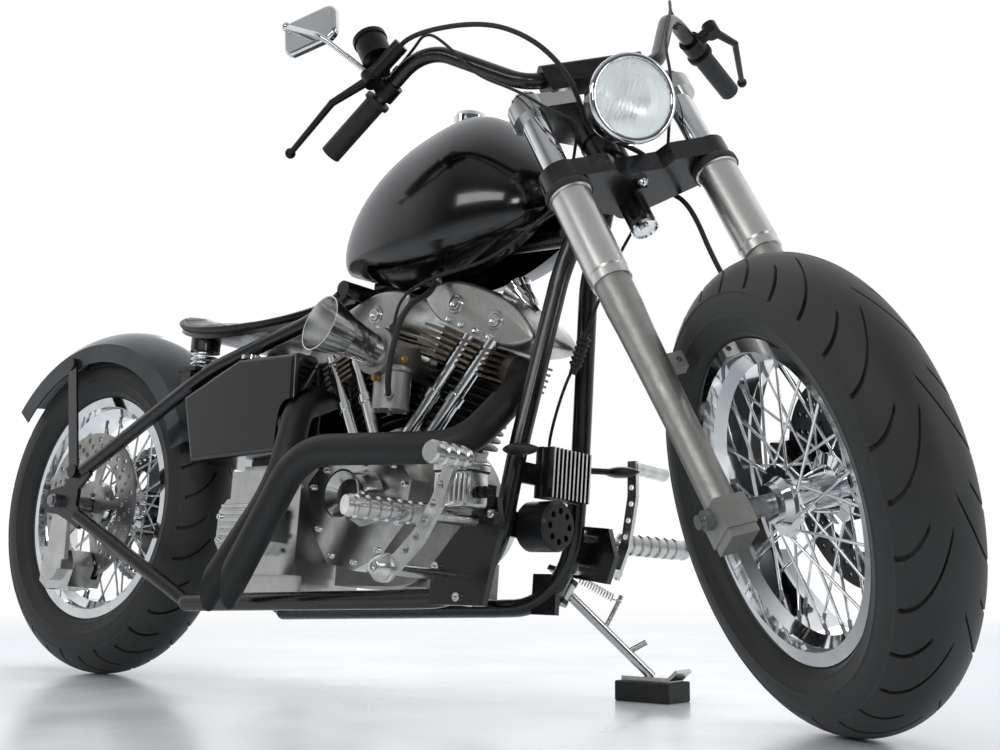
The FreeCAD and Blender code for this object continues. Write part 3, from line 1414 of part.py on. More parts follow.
def front_caliper():
    """Two-piston caliper behind the left leg, straddling the rotor, on two leg lugs."""
    disc_low = HUB_FACE + size("seat_gap") / 2
    disc_high = disc_low + size("disc_wall")
    gap = 5
    lug_side = LEG_Y - 16
    outline = [(-22, 24), (-60, 24), (-84, 60), (-74, 116), (-40, 136), (-16, 120), (-8, 70)]
    body = side_plate(outline, disc_low - gap - 10, lug_side - 10)
    slot = turned([(60, disc_low - gap), (size("disc_radius") + gap, disc_low - gap),
                   (size("disc_radius") + gap, disc_high + gap), (60, disc_high + gap)], (LEG_X, 0, 0))
    plate = side_plate([(-40, 26), (36, 26), (40, 60), (40, 120), (-30, 124)], lug_side - 11, lug_side - 0.2)
    disc_room = turned([(0, disc_high - 1), (size("disc_radius") + gap, disc_high - 1),
                        (size("disc_radius") + gap, disc_high + gap), (0, disc_high + gap)], (LEG_X, 0, 0))
    body = fuse([body.cut(slot), plate]).cut(disc_room)
    cuts = [rod((LEG_X - 36, 60, z), (LEG_X - 36, 130, z), size("lug_hole_radius")) for z in (43, 105)]
    leg_room = rod((LEG_X, LEG_Y, 0), (LEG_X, LEG_Y, 200), 22.3)
    return body.cut(Part.makeCompound(cuts)).cut(leg_room)


keep_shape("front_caliper", front_caliper(), FORK)


# Foot controls and small pieces on the frame, in the bike frame.



def right_footrest():
    """Right control plate with a grooved footrest."""
    plate = side_plate([(982, -172), (1088, -172), (1112, -60), (1104, -14), (1076, -14), (984, -112)], -126, -114.4)
    boss = rod((1084, -90, -48), (1084, -120, -48), 12)
    low_boss = rod((1040, -96, -160), (1040, -118, -160), 12)
    arm = rod((1062, -122, -48), (1040, -200, -48), 10)
    start = Vector(1040, -198, -48)
    run = Vector(1000, -330, -48) - start
    length = run.Length
    outline = [(0, 0), (13, 0), (17, 5)]
    count = 7
    pitch = (length - 18) / count
    for i in range(count):
        z = 8 + pitch * i
        outline += [(17, z), (17, z + pitch * 0.6), (14, z + pitch * 0.66), (14, z + pitch * 0.94)]
    outline += [(17, length - 8), (14, length), (0, length)]
    peg = turned(outline, tuple(start), tuple(run))
    body = fuse([plate, boss, low_boss, arm, peg]).cut(downtube_pair).cut(rail_shape)
    return max(body.Solids, key=lambda solid: solid.Volume)



def brake_pedal():
    """Drilled pedal arm with a ribbed pad, on a pivot that stands out from the control plate."""
    pivot = rod((1000, -126.2, -128), (1000, -248, -128), 9)
    hub = rod((1000, -232, -128), (1000, -252, -128), 16)
    outline = [(986, -124), (1000, -144), (1030, -132), (1072, -94), (1104, -44), (1124, 8), (1126, 34),
               (1106, 36), (1104, 14), (1086, -30), (1056, -76), (1020, -108)]
    arm = side_plate(outline, -246, -238)
    holes = []
    for x, z in ((1044, -102), (1062, -84), (1077, -62), (1090, -38), (1102, -12)):
        holes.append(rod((x, -250, z), (x, -230, z), 6))
    pad = turned([(0, -38), (14, -38), (17, -34), (17, -24), (14, -22), (14, -16), (17, -14), (17, -4), (14, -2),
                  (14, 4), (17, 6), (17, 16), (14, 18), (14, 24), (17, 26), (17, 34), (14, 38), (0, 38)],
                 (1116, -250, 29), (0, 1, 0))
    return fuse([pivot, hub, arm.cut(Part.makeCompound(holes)), pad])



def rear_master_cylinder():
    """Finned hydraulic cylinder on the right control plate."""
    outline = [(0, 0), (13, 0)]
    for i in range(7):
        z = 6 + 9 * i
        outline += [(13, z), (20, z + 0.4), (20, z + 4), (13, z + 4.4)]
    outline += [(13, 74), (8, 78), (8, 96), (0, 96)]
    body = turned(outline, (1122, -176, 12), (-0.96, 0, -0.28))
    stand = box(1082, 1102, -186, -126.2, -38, 2)
    return fuse([body, stand])


keep_shape("rear_master_cylinder", rear_master_cylinder(), BIKE)


def left_footrest():
    """Left control plate with a grooved footrest."""
    plate = side_plate([(1066, -112), (1130, -120), (1144, -78), (1128, -34), (1076, -30), (1064, -62)], 114.4, 126)
    boss = rod((1084, 90, -48), (1084, 120, -48), 12)
    low_boss = rod((1080, 92, -96), (1080, 118, -96), 12)
    start = Vector(1107, 124, -54)
    run = Vector(1150, 300, -50) - start
    length = run.Length
    outline = [(0, 0), (10, 0), (10, 30), (13, 34), (17, 38)]
    count = 7
    pitch = (length - 56) / count
    for i in range(count):
        z = 42 + pitch * i
        outline += [(17, z), (17, z + pitch * 0.6), (14, z + pitch * 0.66), (14, z + pitch * 0.94)]
    outline += [(17, length - 8), (14, length), (0, length)]
    peg = turned(outline, tuple(start), tuple(run))
    body = fuse([plate, boss, low_boss, peg]).cut(downtube_pair).cut(rail_shape)
    return max(body.Solids, key=lambda solid: solid.Volume)


keep_shape("footrests", Part.makeCompound([right_footrest(), left_footrest()]), BIKE)


def shift_lever():
    """Drilled shift arm with a rubber-tipped peg, on the left control plate."""
    pivot = rod((1124, 126.2, -100), (1124, 152, -100), 9)
    arm = side_plate([(1114, -104), (1126, -112), (1146, -60), (1156, 20), (1152, 76), (1136, 76), (1139, 20),
                      (1131, -50)], 146, 154)
    holes = []
    for x, z in ((1139, -44), (1143, -18), (1147, 8), (1146, 34)):
        holes.append(rod((x, 140, z), (x, 160, z), 4.5))
    peg = rod((1144, 150, 66), (1144, 236, 66), 11)
    return fuse([pivot, arm.cut(Part.makeCompound(holes)), peg])


keep_shape("foot_levers", Part.makeCompound([brake_pedal(), shift_lever()]), BIKE)


def regulator():
    """Finned voltage regulator on a bracket between the front downtubes."""
    bracket = box(1096, 1106, -76, 76, 14, 46)
    body = box(1106, 1120, -46, 46, -6, 72)
    fins = [box(1120, 1142, -46, 46, -6 + 10.7 * i, -1 + 10.7 * i) for i in range(8)]
    joined = fuse([bracket, body] + fins).cut(downtube_pair)
    return max(joined.Solids, key=lambda solid: solid.Volume)


keep_shape("regulator", regulator(), BIKE)


def oil_filter():
    """Round filter can with a ring of holes in its face, on a bracket between the downtubes."""
    bracket = box(1080, 1090, -90, 90, -66, -28)
    can = turned([(0, 0), (36, 0), (38, 3), (38, 52), (34, 57), (0, 57)], (1090, -30, -47), (1, 0, 0))
    holes = []
    for i in range(8):
        angle = math.radians(45 * i)
        at = (1140, -30 + 23 * math.cos(angle), -47 + 23 * math.sin(angle))
        holes.append(rod(at, (1150, at[1], at[2]), 5))
    joined = fuse([bracket, can]).cut(downtube_pair).cut(Part.makeCompound(holes))
    return max(joined.Solids, key=lambda solid: solid.Volume)


keep_shape("oil_filter", oil_filter(), BIKE)


def indicators():
    """Slim leaf-shaped lamps on short stalks."""
    shapes = []
    for side in (-1, 1):
        stalk = rod((1100, side * 70, 52), (1132, side * 118, 55), 5)
        sections = []
        for share, grow in ((0, 0.25), (0.2, 0.8), (0.5, 1.0), (0.8, 0.72), (1, 0.18)):
            x = 1110 + 64 * share
            ring = Part.Ellipse(Vector(x, side * 124, 55), 17 * grow, 9 * grow)
            ring.Axis = Vector(1, 0, 0)
            sections.append(Part.Wire(ring.toShape()))
        leaf = Part.makeLoft(sections, True, False)
        joined = fuse([stalk, leaf]).cut(downtube_pair)
        shapes.append(max(joined.Solids, key=lambda solid: solid.Volume))
    return shapes


keep_shape("indicators", Part.makeCompound(indicators()), BIKE)


def horn():
    """Small bright bell on a foot that sits on the front rocker box."""
    foot = rod((1046, 10, 294), (1032, 10, 308), 9)
    bell = turned([(0, 0), (12, 0), (16, 5), (18, 20), (22, 36), (27, 48), (25, 48), (20, 36), (14, 20), (0, 16)],
                  (1034, 10, 306), (-0.72, 0, 0.69))
    body = fuse([foot, bell]).cut(rocker_shapes)
    return max(body.Solids, key=lambda solid: solid.Volume)


keep_shape("horn", horn(), BIKE)


# Side stand: the leg swings about an axis set askew, so that it folds along the frame rail.

STAND_PIVOT = Vector(1030, 136, -128)
STAND_FOOT = Vector(1128, 252, -256)
STAND_DOWN = (STAND_FOOT - STAND_PIVOT).normalize()
STAND_UP = Vector(-0.955, 0.17, -0.14).normalize()
LOAD = Vector(0, -math.sin(LEAN), math.cos(LEAN))


def stand_axis():
    """The hinge axis: square to the difference of both leg directions, tilted outboard."""
    difference = STAND_DOWN - STAND_UP
    upright = Vector(0.03, 0.33, 0.94)
    axis = upright - difference * (upright.dot(difference) / difference.dot(difference))
    return axis.normalize()


STAND_AXIS = stand_axis()
SPRING_RISE = 28
SPRING_PIN = 92


def stand_swing():
    """How far the leg turns from parked to folded, in degrees about the hinge axis."""
    down = STAND_DOWN - STAND_AXIS * STAND_DOWN.dot(STAND_AXIS)
    up = STAND_UP - STAND_AXIS * STAND_UP.dot(STAND_AXIS)
    angle = math.degrees(down.getAngle(up))
    turn = down.cross(up).dot(STAND_AXIS)
    return angle if turn > 0 else -angle


def across_axis(along, low, high, radius):
    """A cylinder on the hinge axis, from low to high along it."""
    start = STAND_PIVOT + along * low
    return Part.makeCylinder(radius, high - low, start, along)


def ear(low, high):
    """One ear of the stand's bracket: a round end with a tongue that runs in to the rail."""
    tongue = Part.makeBox(46, 24, high - low, Vector(0, -12, low))
    tongue.Placement = Placement(STAND_PIVOT, Rotation(Vector(0, -1, 0), Vector(0, 0, 0), STAND_AXIS, "ZXY"))
    return fuse([across_axis(STAND_AXIS, low, high, 17), tongue])


def stand_bracket():
    """Two ears on the left rail with a pivot bolt between them."""
    bolt = across_axis(STAND_AXIS, -28, 38, 6)
    base = box(1006, 1054, 86, 97, -172, -108)
    return fuse([ear(10.5, 18.5), ear(-24, -16), bolt, base])


def stand_leg():
    """Round leg with a pivot eye, a flat foot with a turned-up toe and a kick tab."""
    eye = across_axis(STAND_AXIS, -15.8, 10.3, 16)
    foot_top = STAND_FOOT
    leg = rod(tuple(STAND_PIVOT), tuple(foot_top), 8)
    level = Rotation(Vector(1, 0, 0), size("lean_angle"))
    sole = Part.makeBox(92, 40, 7, Vector(-46, -20, -7))
    toe = Part.makeBox(24, 40, 6, Vector(0, -20, 0))
    toe.rotate(Vector(0, 0, 0), Vector(0, 1, 0), -40)
    toe.translate(Vector(44, 0, -7))
    runner = fuse([sole, toe])
    runner.Placement = Placement(foot_top + Vector(0, 0, 1), level)
    tab = rod(tuple(STAND_PIVOT + (foot_top - STAND_PIVOT) * 0.72),
              tuple(STAND_PIVOT + (foot_top - STAND_PIVOT) * 0.72 + Vector(26, 14, 18)), 5)
    pin_foot = STAND_PIVOT + STAND_DOWN * SPRING_PIN
    pin_rise = SPRING_RISE + 10 - SPRING_PIN * STAND_DOWN.dot(STAND_AXIS)
    pin = rod(tuple(pin_foot), tuple(pin_foot + STAND_AXIS * pin_rise), 4)
    body = fuse([eye, leg, runner, tab, pin])
    bore = across_axis(STAND_AXIS, -18, 12, 6 + size("running_gap"))
    return body.cut(bore)


def stand_pad():
    """Square block under the foot, so that the short leg reaches the floor."""
    level = Rotation(Vector(1, 0, 0), size("lean_angle"))
    top = STAND_FOOT + Vector(0, 0, 1 - 7)
    leaned = STANCE.multVec(top)
    height = leaned.z - 0.2
    block = Part.makeBox(105, 62, height, Vector(-52, -31, -height))
    block = block.makeChamfer(2, block.Edges)
    block.Placement = Placement(top + LOAD * -0.2, level)
    return block


keep_shape("frame_cradle", fuse([rail_shape, downtube, mirrored(downtube), stand_bracket()]), BIKE)
keep_shape("side_stand", stand_leg(), BIKE)
keep_shape("stand_pad", stand_pad(), BIKE)


# Cables and hoses.

HOSE = [(25.9, -252.8, 932.9), (42.7, -235, 938.3), (136, -165, 850), (166, -120, 777), (146, -80, 723),
        (87, -50, 697), (50, -38, 682), (44, 5, 650), (14, 60, 632), (-20, 76, 592), (-2, 92, 545),
        (-32, 98, 440), (-38, 112, 300), (-40, 128, 190), (-46, 124, 116), (-50, 95.2, 112)]
keep_shape("front_brake_hose", tube(HOSE, 4), FORK)

FORK_IN_BIKE = FORK_STRAIGHT * TURN
CABLE_RADIUS = 2.5


def from_fork(point):
    """A point of the fork frame, given in the bike frame."""
    return tuple(FORK_IN_BIKE.multVec(Vector(*point)))


def cable_start(side):
    """Where a cable leaves the inner face of a lever clamp, just above the bar, and its next point."""
    along = (Vector(*bar_point(0, side)) - Vector(*bar_point(1, side))).normalize()
    above = (Vector(0, 0, 1) - along * along.z).normalize()
    start = bar_point(0.34, side) + above * 15.9 + along * 0.1
    return [tuple(start), tuple(start + along * 55)]


THROTTLE_FORK = cable_start(-1) + [(48, -214, 935), (72, -200, 868), (56, -175, 819), (104, -142, 728),
                                   (108, -112, 676), (102, -75, 655), (50, -76, 640), (-14, -86, 612)]
THROTTLE_BIKE = [(1130, -80, 425), (1040, -98, 358), (930, -104, 345), (868, -112, 322), (848, -112, 285),
                 (848, -112, 246)]
CLUTCH_FORK = cable_start(1) + [(48, 214, 935), (84, 178, 868), (108, 120, 780), (112, 98, 700), (56, 80, 640),
                                (-14, 84, 612)]
CLUTCH_BIKE = [(1185, 40, 400), (1160, 8, 290), (1142, 0, 220), (1113, 0, 166), (1078, 14, 84), (1030, 86, 66),
               (960, 124, 74), (894, 124, 34)]
FUEL_HOSE = [(900, -72, 370), (900, -73, 328), (908, -150, 290), (906, -172, 200), (893.4, -159, 150),
             (872, -132.2, 150)]


def largest(shape):
    """The main solid that is left after a cut."""
    return max(shape.Solids, key=lambda solid: solid.Volume)


throttle = tube([from_fork(point) for point in THROTTLE_FORK] + THROTTLE_BIKE, CABLE_RADIUS)
keep_shape("throttle_cable", largest(throttle.cut(carb_shape)), BIKE)
clutch = tube([from_fork(point) for point in CLUTCH_FORK] + CLUTCH_BIKE, CABLE_RADIUS)
keep_shape("clutch_cable", largest(clutch.cut(primary_cover())), BIKE)
fuel_line = tube(FUEL_HOSE, 5).cut(tank_shape).cut(carb_shape)
keep_shape("fuel_hose", largest(fuel_line), BIKE)


# Checks and files.

doc.recompute()
names = [piece.Label for piece in pieces]
if len(set(names)) != len(names):
    raise RuntimeError("two pieces share a name")
for obj in doc.Objects:
    if "Invalid" in obj.State or "Error" in obj.State:
        raise RuntimeError("%s did not compute: %s" % (obj.Label, obj.State))
unsound = []
for piece in pieces:
    shape = piece.Shape
    if shape.isNull() or not shape.isValid() or shape.Volume <= 0:
        unsound.append(piece.Label)
if unsound:
    raise RuntimeError("no sound shape: %s" % ", ".join(unsound))

whole = FreeCAD.BoundBox()
for piece in pieces:
    whole.add(piece.Shape.optimalBoundingBox(False, False))
shift = Placement(Vector(-whole.Center.x, -whole.Center.y, 0), Rotation())
for piece in pieces:
    piece.Placement = shift * piece.Placement

os.makedirs("parts", exist_ok=True)
for piece in pieces:
    piece.Shape.exportStep("parts/%s.step" % piece.Label)
    solids = len(piece.Shape.Solids)
    print("%-22s %d solid(s) %10.1f mm3" % (piece.Label, solids, piece.Shape.Volume))
print("box low %.1f, size %.1f x %.1f x %.1f" % (whole.ZMin, whole.XLength, whole.YLength, whole.ZLength))
print("box centre before the shift %.4f %.4f" % (whole.Center.x, whole.Center.y))
print("front axle height %.2f" % FRONT_AXLE.z)


def tell(name, frame, point, direction):
    """Print a point in metres and a direction, both in the part's own frame."""
    spot = shift.multVec(frame.multVec(Vector(*point)))
    way = frame.Rotation.multVec(Vector(*direction)).normalize()
    print("AT %s [%.6f, %.6f, %.6f] [%.6f, %.6f, %.6f]" % (name, spot.x / 1000, spot.y / 1000, spot.z / 1000,
                                                        way.x, way.y, way.z))


tell("rear_axle", BIKE, (0, 0, 0), (0, 1, 0))
tell("front_axle", FRONT_WHEEL, (0, 0, 0), (0, 1, 0))
tell("steering", FORK, (0, 0, (NECK_LOW + NECK_HIGH) / 2), (0, 0, 1))
tell("side_stand", BIKE, tuple(STAND_PIVOT), tuple(STAND_AXIS))
tell("upper_lug", FORK, (LEG_X - 36, LEG_Y - 10, 105), (0, 1, 0))
tell("lower_lug", FORK, (LEG_X - 36, LEG_Y - 10, 43), (0, 1, 0))
tell("right_lug", FORK, (LEG_X, -LEG_Y + 36, 237), (1, 0, 0))
tell("rear_axle_left_end", BIKE, (0, PLATE_OUTER + 15, 0), (0, 1, 0))
tell("rear_axle_right_end", BIKE, (0, -PLATE_OUTER - 15, 0), (0, -1, 0))
tell("front_axle_left_end", FRONT_WHEEL, (0, LEG_Y + 38, 0), (0, 1, 0))
tell("front_axle_right_end", FRONT_WHEEL, (0, -LEG_Y - 38, 0), (0, -1, 0))
tell("stack_mouth", BIKE, (828, -252, 246), (0, -1, 0))
print("STAND_SWING %.3f" % stand_swing())
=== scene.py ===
# %% [markdown]
# # Chopper on its side stand
# This lesson dresses a ready-made construction model of a chopper in Blender 4.5.
# The construction model gives the exact places of all solids, in metres, and the
# lesson adds what makes them look real: surface finishes, tyre tread, leather,
# chain links, screws and glass. The camera and the light come first, because every
# finish is judged through them.

# %% Load the construction model
import json
import math

import bmesh
import bpy
import numpy as np
from mathutils import Matrix, Vector


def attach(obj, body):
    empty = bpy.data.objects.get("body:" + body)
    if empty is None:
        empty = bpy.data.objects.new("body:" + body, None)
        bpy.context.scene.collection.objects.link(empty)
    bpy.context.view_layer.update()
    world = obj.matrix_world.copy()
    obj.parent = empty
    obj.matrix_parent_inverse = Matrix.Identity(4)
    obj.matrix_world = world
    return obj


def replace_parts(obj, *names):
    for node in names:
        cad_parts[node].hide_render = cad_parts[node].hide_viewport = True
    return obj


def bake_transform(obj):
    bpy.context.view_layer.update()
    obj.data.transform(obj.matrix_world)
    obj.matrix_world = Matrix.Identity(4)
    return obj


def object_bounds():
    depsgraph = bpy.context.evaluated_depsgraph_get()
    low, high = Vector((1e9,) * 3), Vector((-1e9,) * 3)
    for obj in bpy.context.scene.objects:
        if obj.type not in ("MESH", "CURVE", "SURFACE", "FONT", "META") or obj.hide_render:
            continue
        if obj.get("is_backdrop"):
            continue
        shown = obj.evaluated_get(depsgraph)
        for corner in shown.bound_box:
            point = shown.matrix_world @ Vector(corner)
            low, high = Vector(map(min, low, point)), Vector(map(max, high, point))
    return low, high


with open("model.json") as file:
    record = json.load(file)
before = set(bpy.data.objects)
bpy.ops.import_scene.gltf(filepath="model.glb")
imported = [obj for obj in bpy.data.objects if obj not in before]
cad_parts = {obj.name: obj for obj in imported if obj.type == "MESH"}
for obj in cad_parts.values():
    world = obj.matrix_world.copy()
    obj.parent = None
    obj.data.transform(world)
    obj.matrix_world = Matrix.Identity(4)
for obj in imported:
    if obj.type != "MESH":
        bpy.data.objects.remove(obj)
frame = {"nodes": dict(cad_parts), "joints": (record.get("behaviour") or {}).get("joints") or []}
nodes = frame["nodes"]
cad_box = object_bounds()
print("solids:", len(nodes))

# %% [markdown]
# The machine leans on its stand and its fork is turned, so nothing on it is square
# to the room. Its pieces are easier to describe upright and straight. These matrices
# carry such plain coordinates, in millimetres, to where the machine stands. The wheel
# centres come from the hinges of the model, so nothing has to be fitted by eye.

# %% Frames of the leaning bike and its turned fork
LEAN_ANGLE = math.radians(5.85)
RAKE_ANGLE = math.radians(31.4)
TURN_ANGLE = math.radians(37)
FORK_OFFSET = 60
MM = Matrix.Scale(0.001, 4)
LEAN = Matrix.Rotation(-LEAN_ANGLE, 4, "X")
RAKE = Matrix.Rotation(-RAKE_ANGLE, 4, "Y")
TURN = Matrix.Rotation(-TURN_ANGLE, 4, "Z")
hinges = {joint["name"]: joint for joint in frame["joints"]}
rear_axle = Vector(hinges["rear_wheel_spin"]["pos_m"])
front_axle = Vector(hinges["front_wheel_spin"]["pos_m"])
BIKE = Matrix.Translation(rear_axle) @ LEAN @ MM
FRONT_WHEEL = Matrix.Translation(front_axle) @ LEAN @ RAKE @ TURN @ MM
FORK = FRONT_WHEEL @ Matrix.Translation((-FORK_OFFSET, 0, 0))
print("rear axle", tuple(rear_axle), "front axle", tuple(front_axle))

# %% [markdown]
# The photograph was taken from the front right, close to the ground, with a short
# telephoto view. The camera is placed by its distance ahead and to the side of the rear
# axle, and its direction by a turn to the left and a slight look upwards.

# %% Camera of the photograph
AHEAD, ASIDE, HEIGHT = 2.5603, -1.8222, 0.2485
FOCAL_LENGTH, SENSOR_WIDTH = 55.13, 36
YAW = math.radians(40.56)
PITCH = math.radians(6.32)
ROLL = math.radians(0.07)
camera_data = bpy.data.cameras.new("photo_camera")
camera_data.lens = FOCAL_LENGTH
camera_data.sensor_width = SENSOR_WIDTH
camera_data.sensor_fit = "HORIZONTAL"
camera = bpy.data.objects.new("photo_camera", camera_data)
bpy.context.scene.collection.objects.link(camera)
camera.location = (rear_axle.x + AHEAD, rear_axle.y + ASIDE, HEIGHT)
camera.rotation_euler = (math.pi / 2 + PITCH, ROLL, YAW)
bpy.context.scene.camera = camera
bpy.context.scene.view_settings.view_transform = "Standard"
print("camera at", tuple(camera.location))

# %% [markdown]
# The colours in this lesson are written as they look on a screen. Blender calculates
# with linear light, so one function converts them. A second small function adds a
# shader node with its settings and links.

# %% Colour and node helpers
def tone(code):
    """A screen colour as linear red, green, blue and alpha."""
    parts = [int(code[i:i + 2], 16) / 255 for i in (1, 3, 5)]
    linear = [c / 12.92 if c <= 0.04045 else ((c + 0.055) / 1.055) ** 2.4 for c in parts]
    return (*linear, 1)


def add(tree, kind, inputs=None, **settings):
    """Add one shader node, set its properties and fill or link its sockets."""
    made = tree.nodes.new(kind)
    for name, value in settings.items():
        setattr(made, name, value)
    for socket, value in (inputs or {}).items():
        if isinstance(value, bpy.types.NodeSocket):
            tree.links.new(value, made.inputs[socket])
        else:
            made.inputs[socket].default_value = value
    return made


def new_material(name):
    """An empty node material."""
    material = bpy.data.materials.new(name)
    material.use_nodes = True
    material.node_tree.nodes.clear()
    return material, material.node_tree


print("helpers ready")

# %% [markdown]
# The studio is a white seamless room. What the camera sees behind the machine, and
# what bright metal and glass reflect, is white. The light that falls on the machine
# is much weaker than that white, or every pale part would burn out. Metal needs some
# darkness to reflect, or it looks like plaster, so the room behind the camera is
# grey.

# %% Studio room
# From the machine towards the camera: there the room is darkest.
DARK_SIDE = (0.62, -0.72, 0.05)


def build_world():
    """White background, grey room behind the camera, soft fill light."""
    world = bpy.data.worlds.new("studio")
    bpy.context.scene.world = world
    world.use_nodes = True
    tree = world.node_tree
    tree.nodes.clear()
    path = add(tree, "ShaderNodeLightPath")
    where = add(tree, "ShaderNodeTexCoord")
    facing = add(tree, "ShaderNodeVectorMath", {
        0: where.outputs["Generated"], 1: DARK_SIDE}, operation="DOT_PRODUCT")
    shade = add(tree, "ShaderNodeMapRange", {
        "Value": facing.outputs["Value"], "From Min": -0.45, "From Max": 0.55,
        "To Min": 0.95, "To Max": 0.10}, interpolation_type="SMOOTHSTEP")
    band = add(tree, "ShaderNodeSeparateXYZ", {0: where.outputs["Generated"]})
    above = add(tree, "ShaderNodeMapRange", {
        "Value": band.outputs["Z"], "From Min": 0.35, "From Max": 0.9,
        "To Min": 0.0, "To Max": 0.42}, interpolation_type="SMOOTHSTEP")
    mirrored = add(tree, "ShaderNodeMath", {
        0: shade.outputs["Result"], 1: above.outputs["Result"]}, operation="MAXIMUM")
    seen = add(tree, "ShaderNodeBackground", {"Color": tone("#ffffff"), "Strength": 1.0})
    reflected = add(tree, "ShaderNodeBackground", {
        "Color": tone("#fbfcff"), "Strength": mirrored.outputs[0]})
    fill = add(tree, "ShaderNodeBackground", {"Color": tone("#f2f5fa"), "Strength": 0.42})
    glossy = add(tree, "ShaderNodeMath", {
        0: path.outputs["Is Glossy Ray"], 1: path.outputs["Is Transmission Ray"]},
        operation="MAXIMUM")
    soft = add(tree, "ShaderNodeMixShader", {
        0: glossy.outputs[0], 1: fill.outputs[0], 2: reflected.outputs[0]})
    whole = add(tree, "ShaderNodeMixShader", {
        0: path.outputs["Is Camera Ray"], 1: soft.outputs[0], 2: seen.outputs[0]})
    add(tree, "ShaderNodeOutputWorld", {"Surface": whole.outputs[0]})
    return world


print("world:", build_world().name)

# %% [markdown]
# Five soft lamps light the machine. Each row gives a lamp's name, its place, the point
# that it looks at, its width and height in metres, and its power in watts. Large lamps
# close by give soft shade and wide, calm reflections, where a small lamp would leave
# hard spots on the tank and the chromium.

# %% Soft lamps
SOFTBOXES = (
    ("ceiling_softbox", (-0.4, 0.3, 3.4), (0, 0, 0.3), 4.2, 3.0, 95),
    ("right_softbox", (0.6, -3.4, 2.2), (0.1, 0, 0.5), 2.8, 0.7, 32),
    ("front_softbox", (3.6, 0.6, 1.6), (0.2, 0, 0.5), 0.7, 2.2, 24),
    ("lamp_softbox", (2.5, -2.4, 1.5), (0.5, -0.1, 0.85), 0.5, 0.5, 7),
    ("back_softbox", (-2.2, 3.0, 1.8), (0, 0, 0.5), 2.8, 1.8, 34))


def softbox(name, place, target, width, height, power):
    """A soft rectangular lamp that looks at a point."""
    data = bpy.data.lights.new(name, "AREA")
    data.shape = "RECTANGLE"
    data.size = width
    data.size_y = height
    data.energy = power
    lamp = bpy.data.objects.new(name, data)
    bpy.context.scene.collection.objects.link(lamp)
    lamp.location = place
    lamp.rotation_euler = (Vector(target) - Vector(place)).to_track_quat("-Z", "Y").to_euler()


for row in SOFTBOXES:
    softbox(*row)
# The tank would mirror the ceiling's lamp as one white patch, so gloss doesn't see it.
bpy.data.objects["ceiling_softbox"].visible_glossy = False
print("lamps:", len(SOFTBOXES))

# %% [markdown]
# The floor is one large sheet. Near the machine it shows shade and a faint mirror
# image, and further off it fades into the white of the room, so no horizon shows.

# %% Floor
FLOOR_RADIUS = 14
FADE_START, FADE_END = 1.7, 3.6


def floor_material():
    """White lacquered studio floor that fades out with distance."""
    material, tree = new_material("white_lacquered_floor")
    where = add(tree, "ShaderNodeTexCoord")
    away = add(tree, "ShaderNodeVectorMath", {0: where.outputs["Object"]}, operation="LENGTH")
    fade = add(tree, "ShaderNodeMapRange", {
        "Value": away.outputs["Value"], "From Min": FADE_START, "From Max": FADE_END},
        interpolation_type="SMOOTHSTEP")
    smear = add(tree, "ShaderNodeTexNoise", {
        "Vector": where.outputs["Object"], "Scale": 2.4, "Detail": 5})
    gloss = add(tree, "ShaderNodeMapRange", {
        "Value": smear.outputs["Fac"], "From Min": 0.35, "From Max": 0.7,
        "To Min": 0.15, "To Max": 0.30})
    lacquer = add(tree, "ShaderNodeBsdfPrincipled", {
        "Base Color": tone("#dfe3e6"), "Roughness": gloss.outputs["Result"]})
    path = add(tree, "ShaderNodeLightPath")
    white = add(tree, "ShaderNodeEmission", {"Color": tone("#ffffff"), "Strength": 1.0})
    faded = add(tree, "ShaderNodeMixShader", {
        0: fade.outputs["Result"], 1: lacquer.outputs[0], 2: white.outputs[0]})
    plain = add(tree, "ShaderNodeMixShader", {
        0: path.outputs["Is Camera Ray"], 1: lacquer.outputs[0], 2: faded.outputs[0]})
    add(tree, "ShaderNodeOutputMaterial", {"Surface": plain.outputs[0]})
    return material


bpy.ops.object.select_all(action="DESELECT")
bpy.ops.mesh.primitive_circle_add(vertices=64, radius=FLOOR_RADIUS, fill_type="NGON")
floor = bpy.context.object
floor.name = "studio_floor"
floor.data.materials.append(floor_material())
floor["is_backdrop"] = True
print("floor radius:", FLOOR_RADIUS, "m")

# %% [markdown]
# Most surfaces on the machine are one of a few kinds: polished or plated metal, cast
# or brushed metal, lacquer and rubber. A single recipe covers them. It mixes two close
# tones with a cloudy pattern, lets the gloss wander in the same way, and raises a fine
# grain. Every size in it is a real length in millimetres. Where edge is given, rounded
# edges that the hand or a cloth rubs take that third tone.

# %% The common recipe for a finish
RUBBED_WIDTH = 0.0016


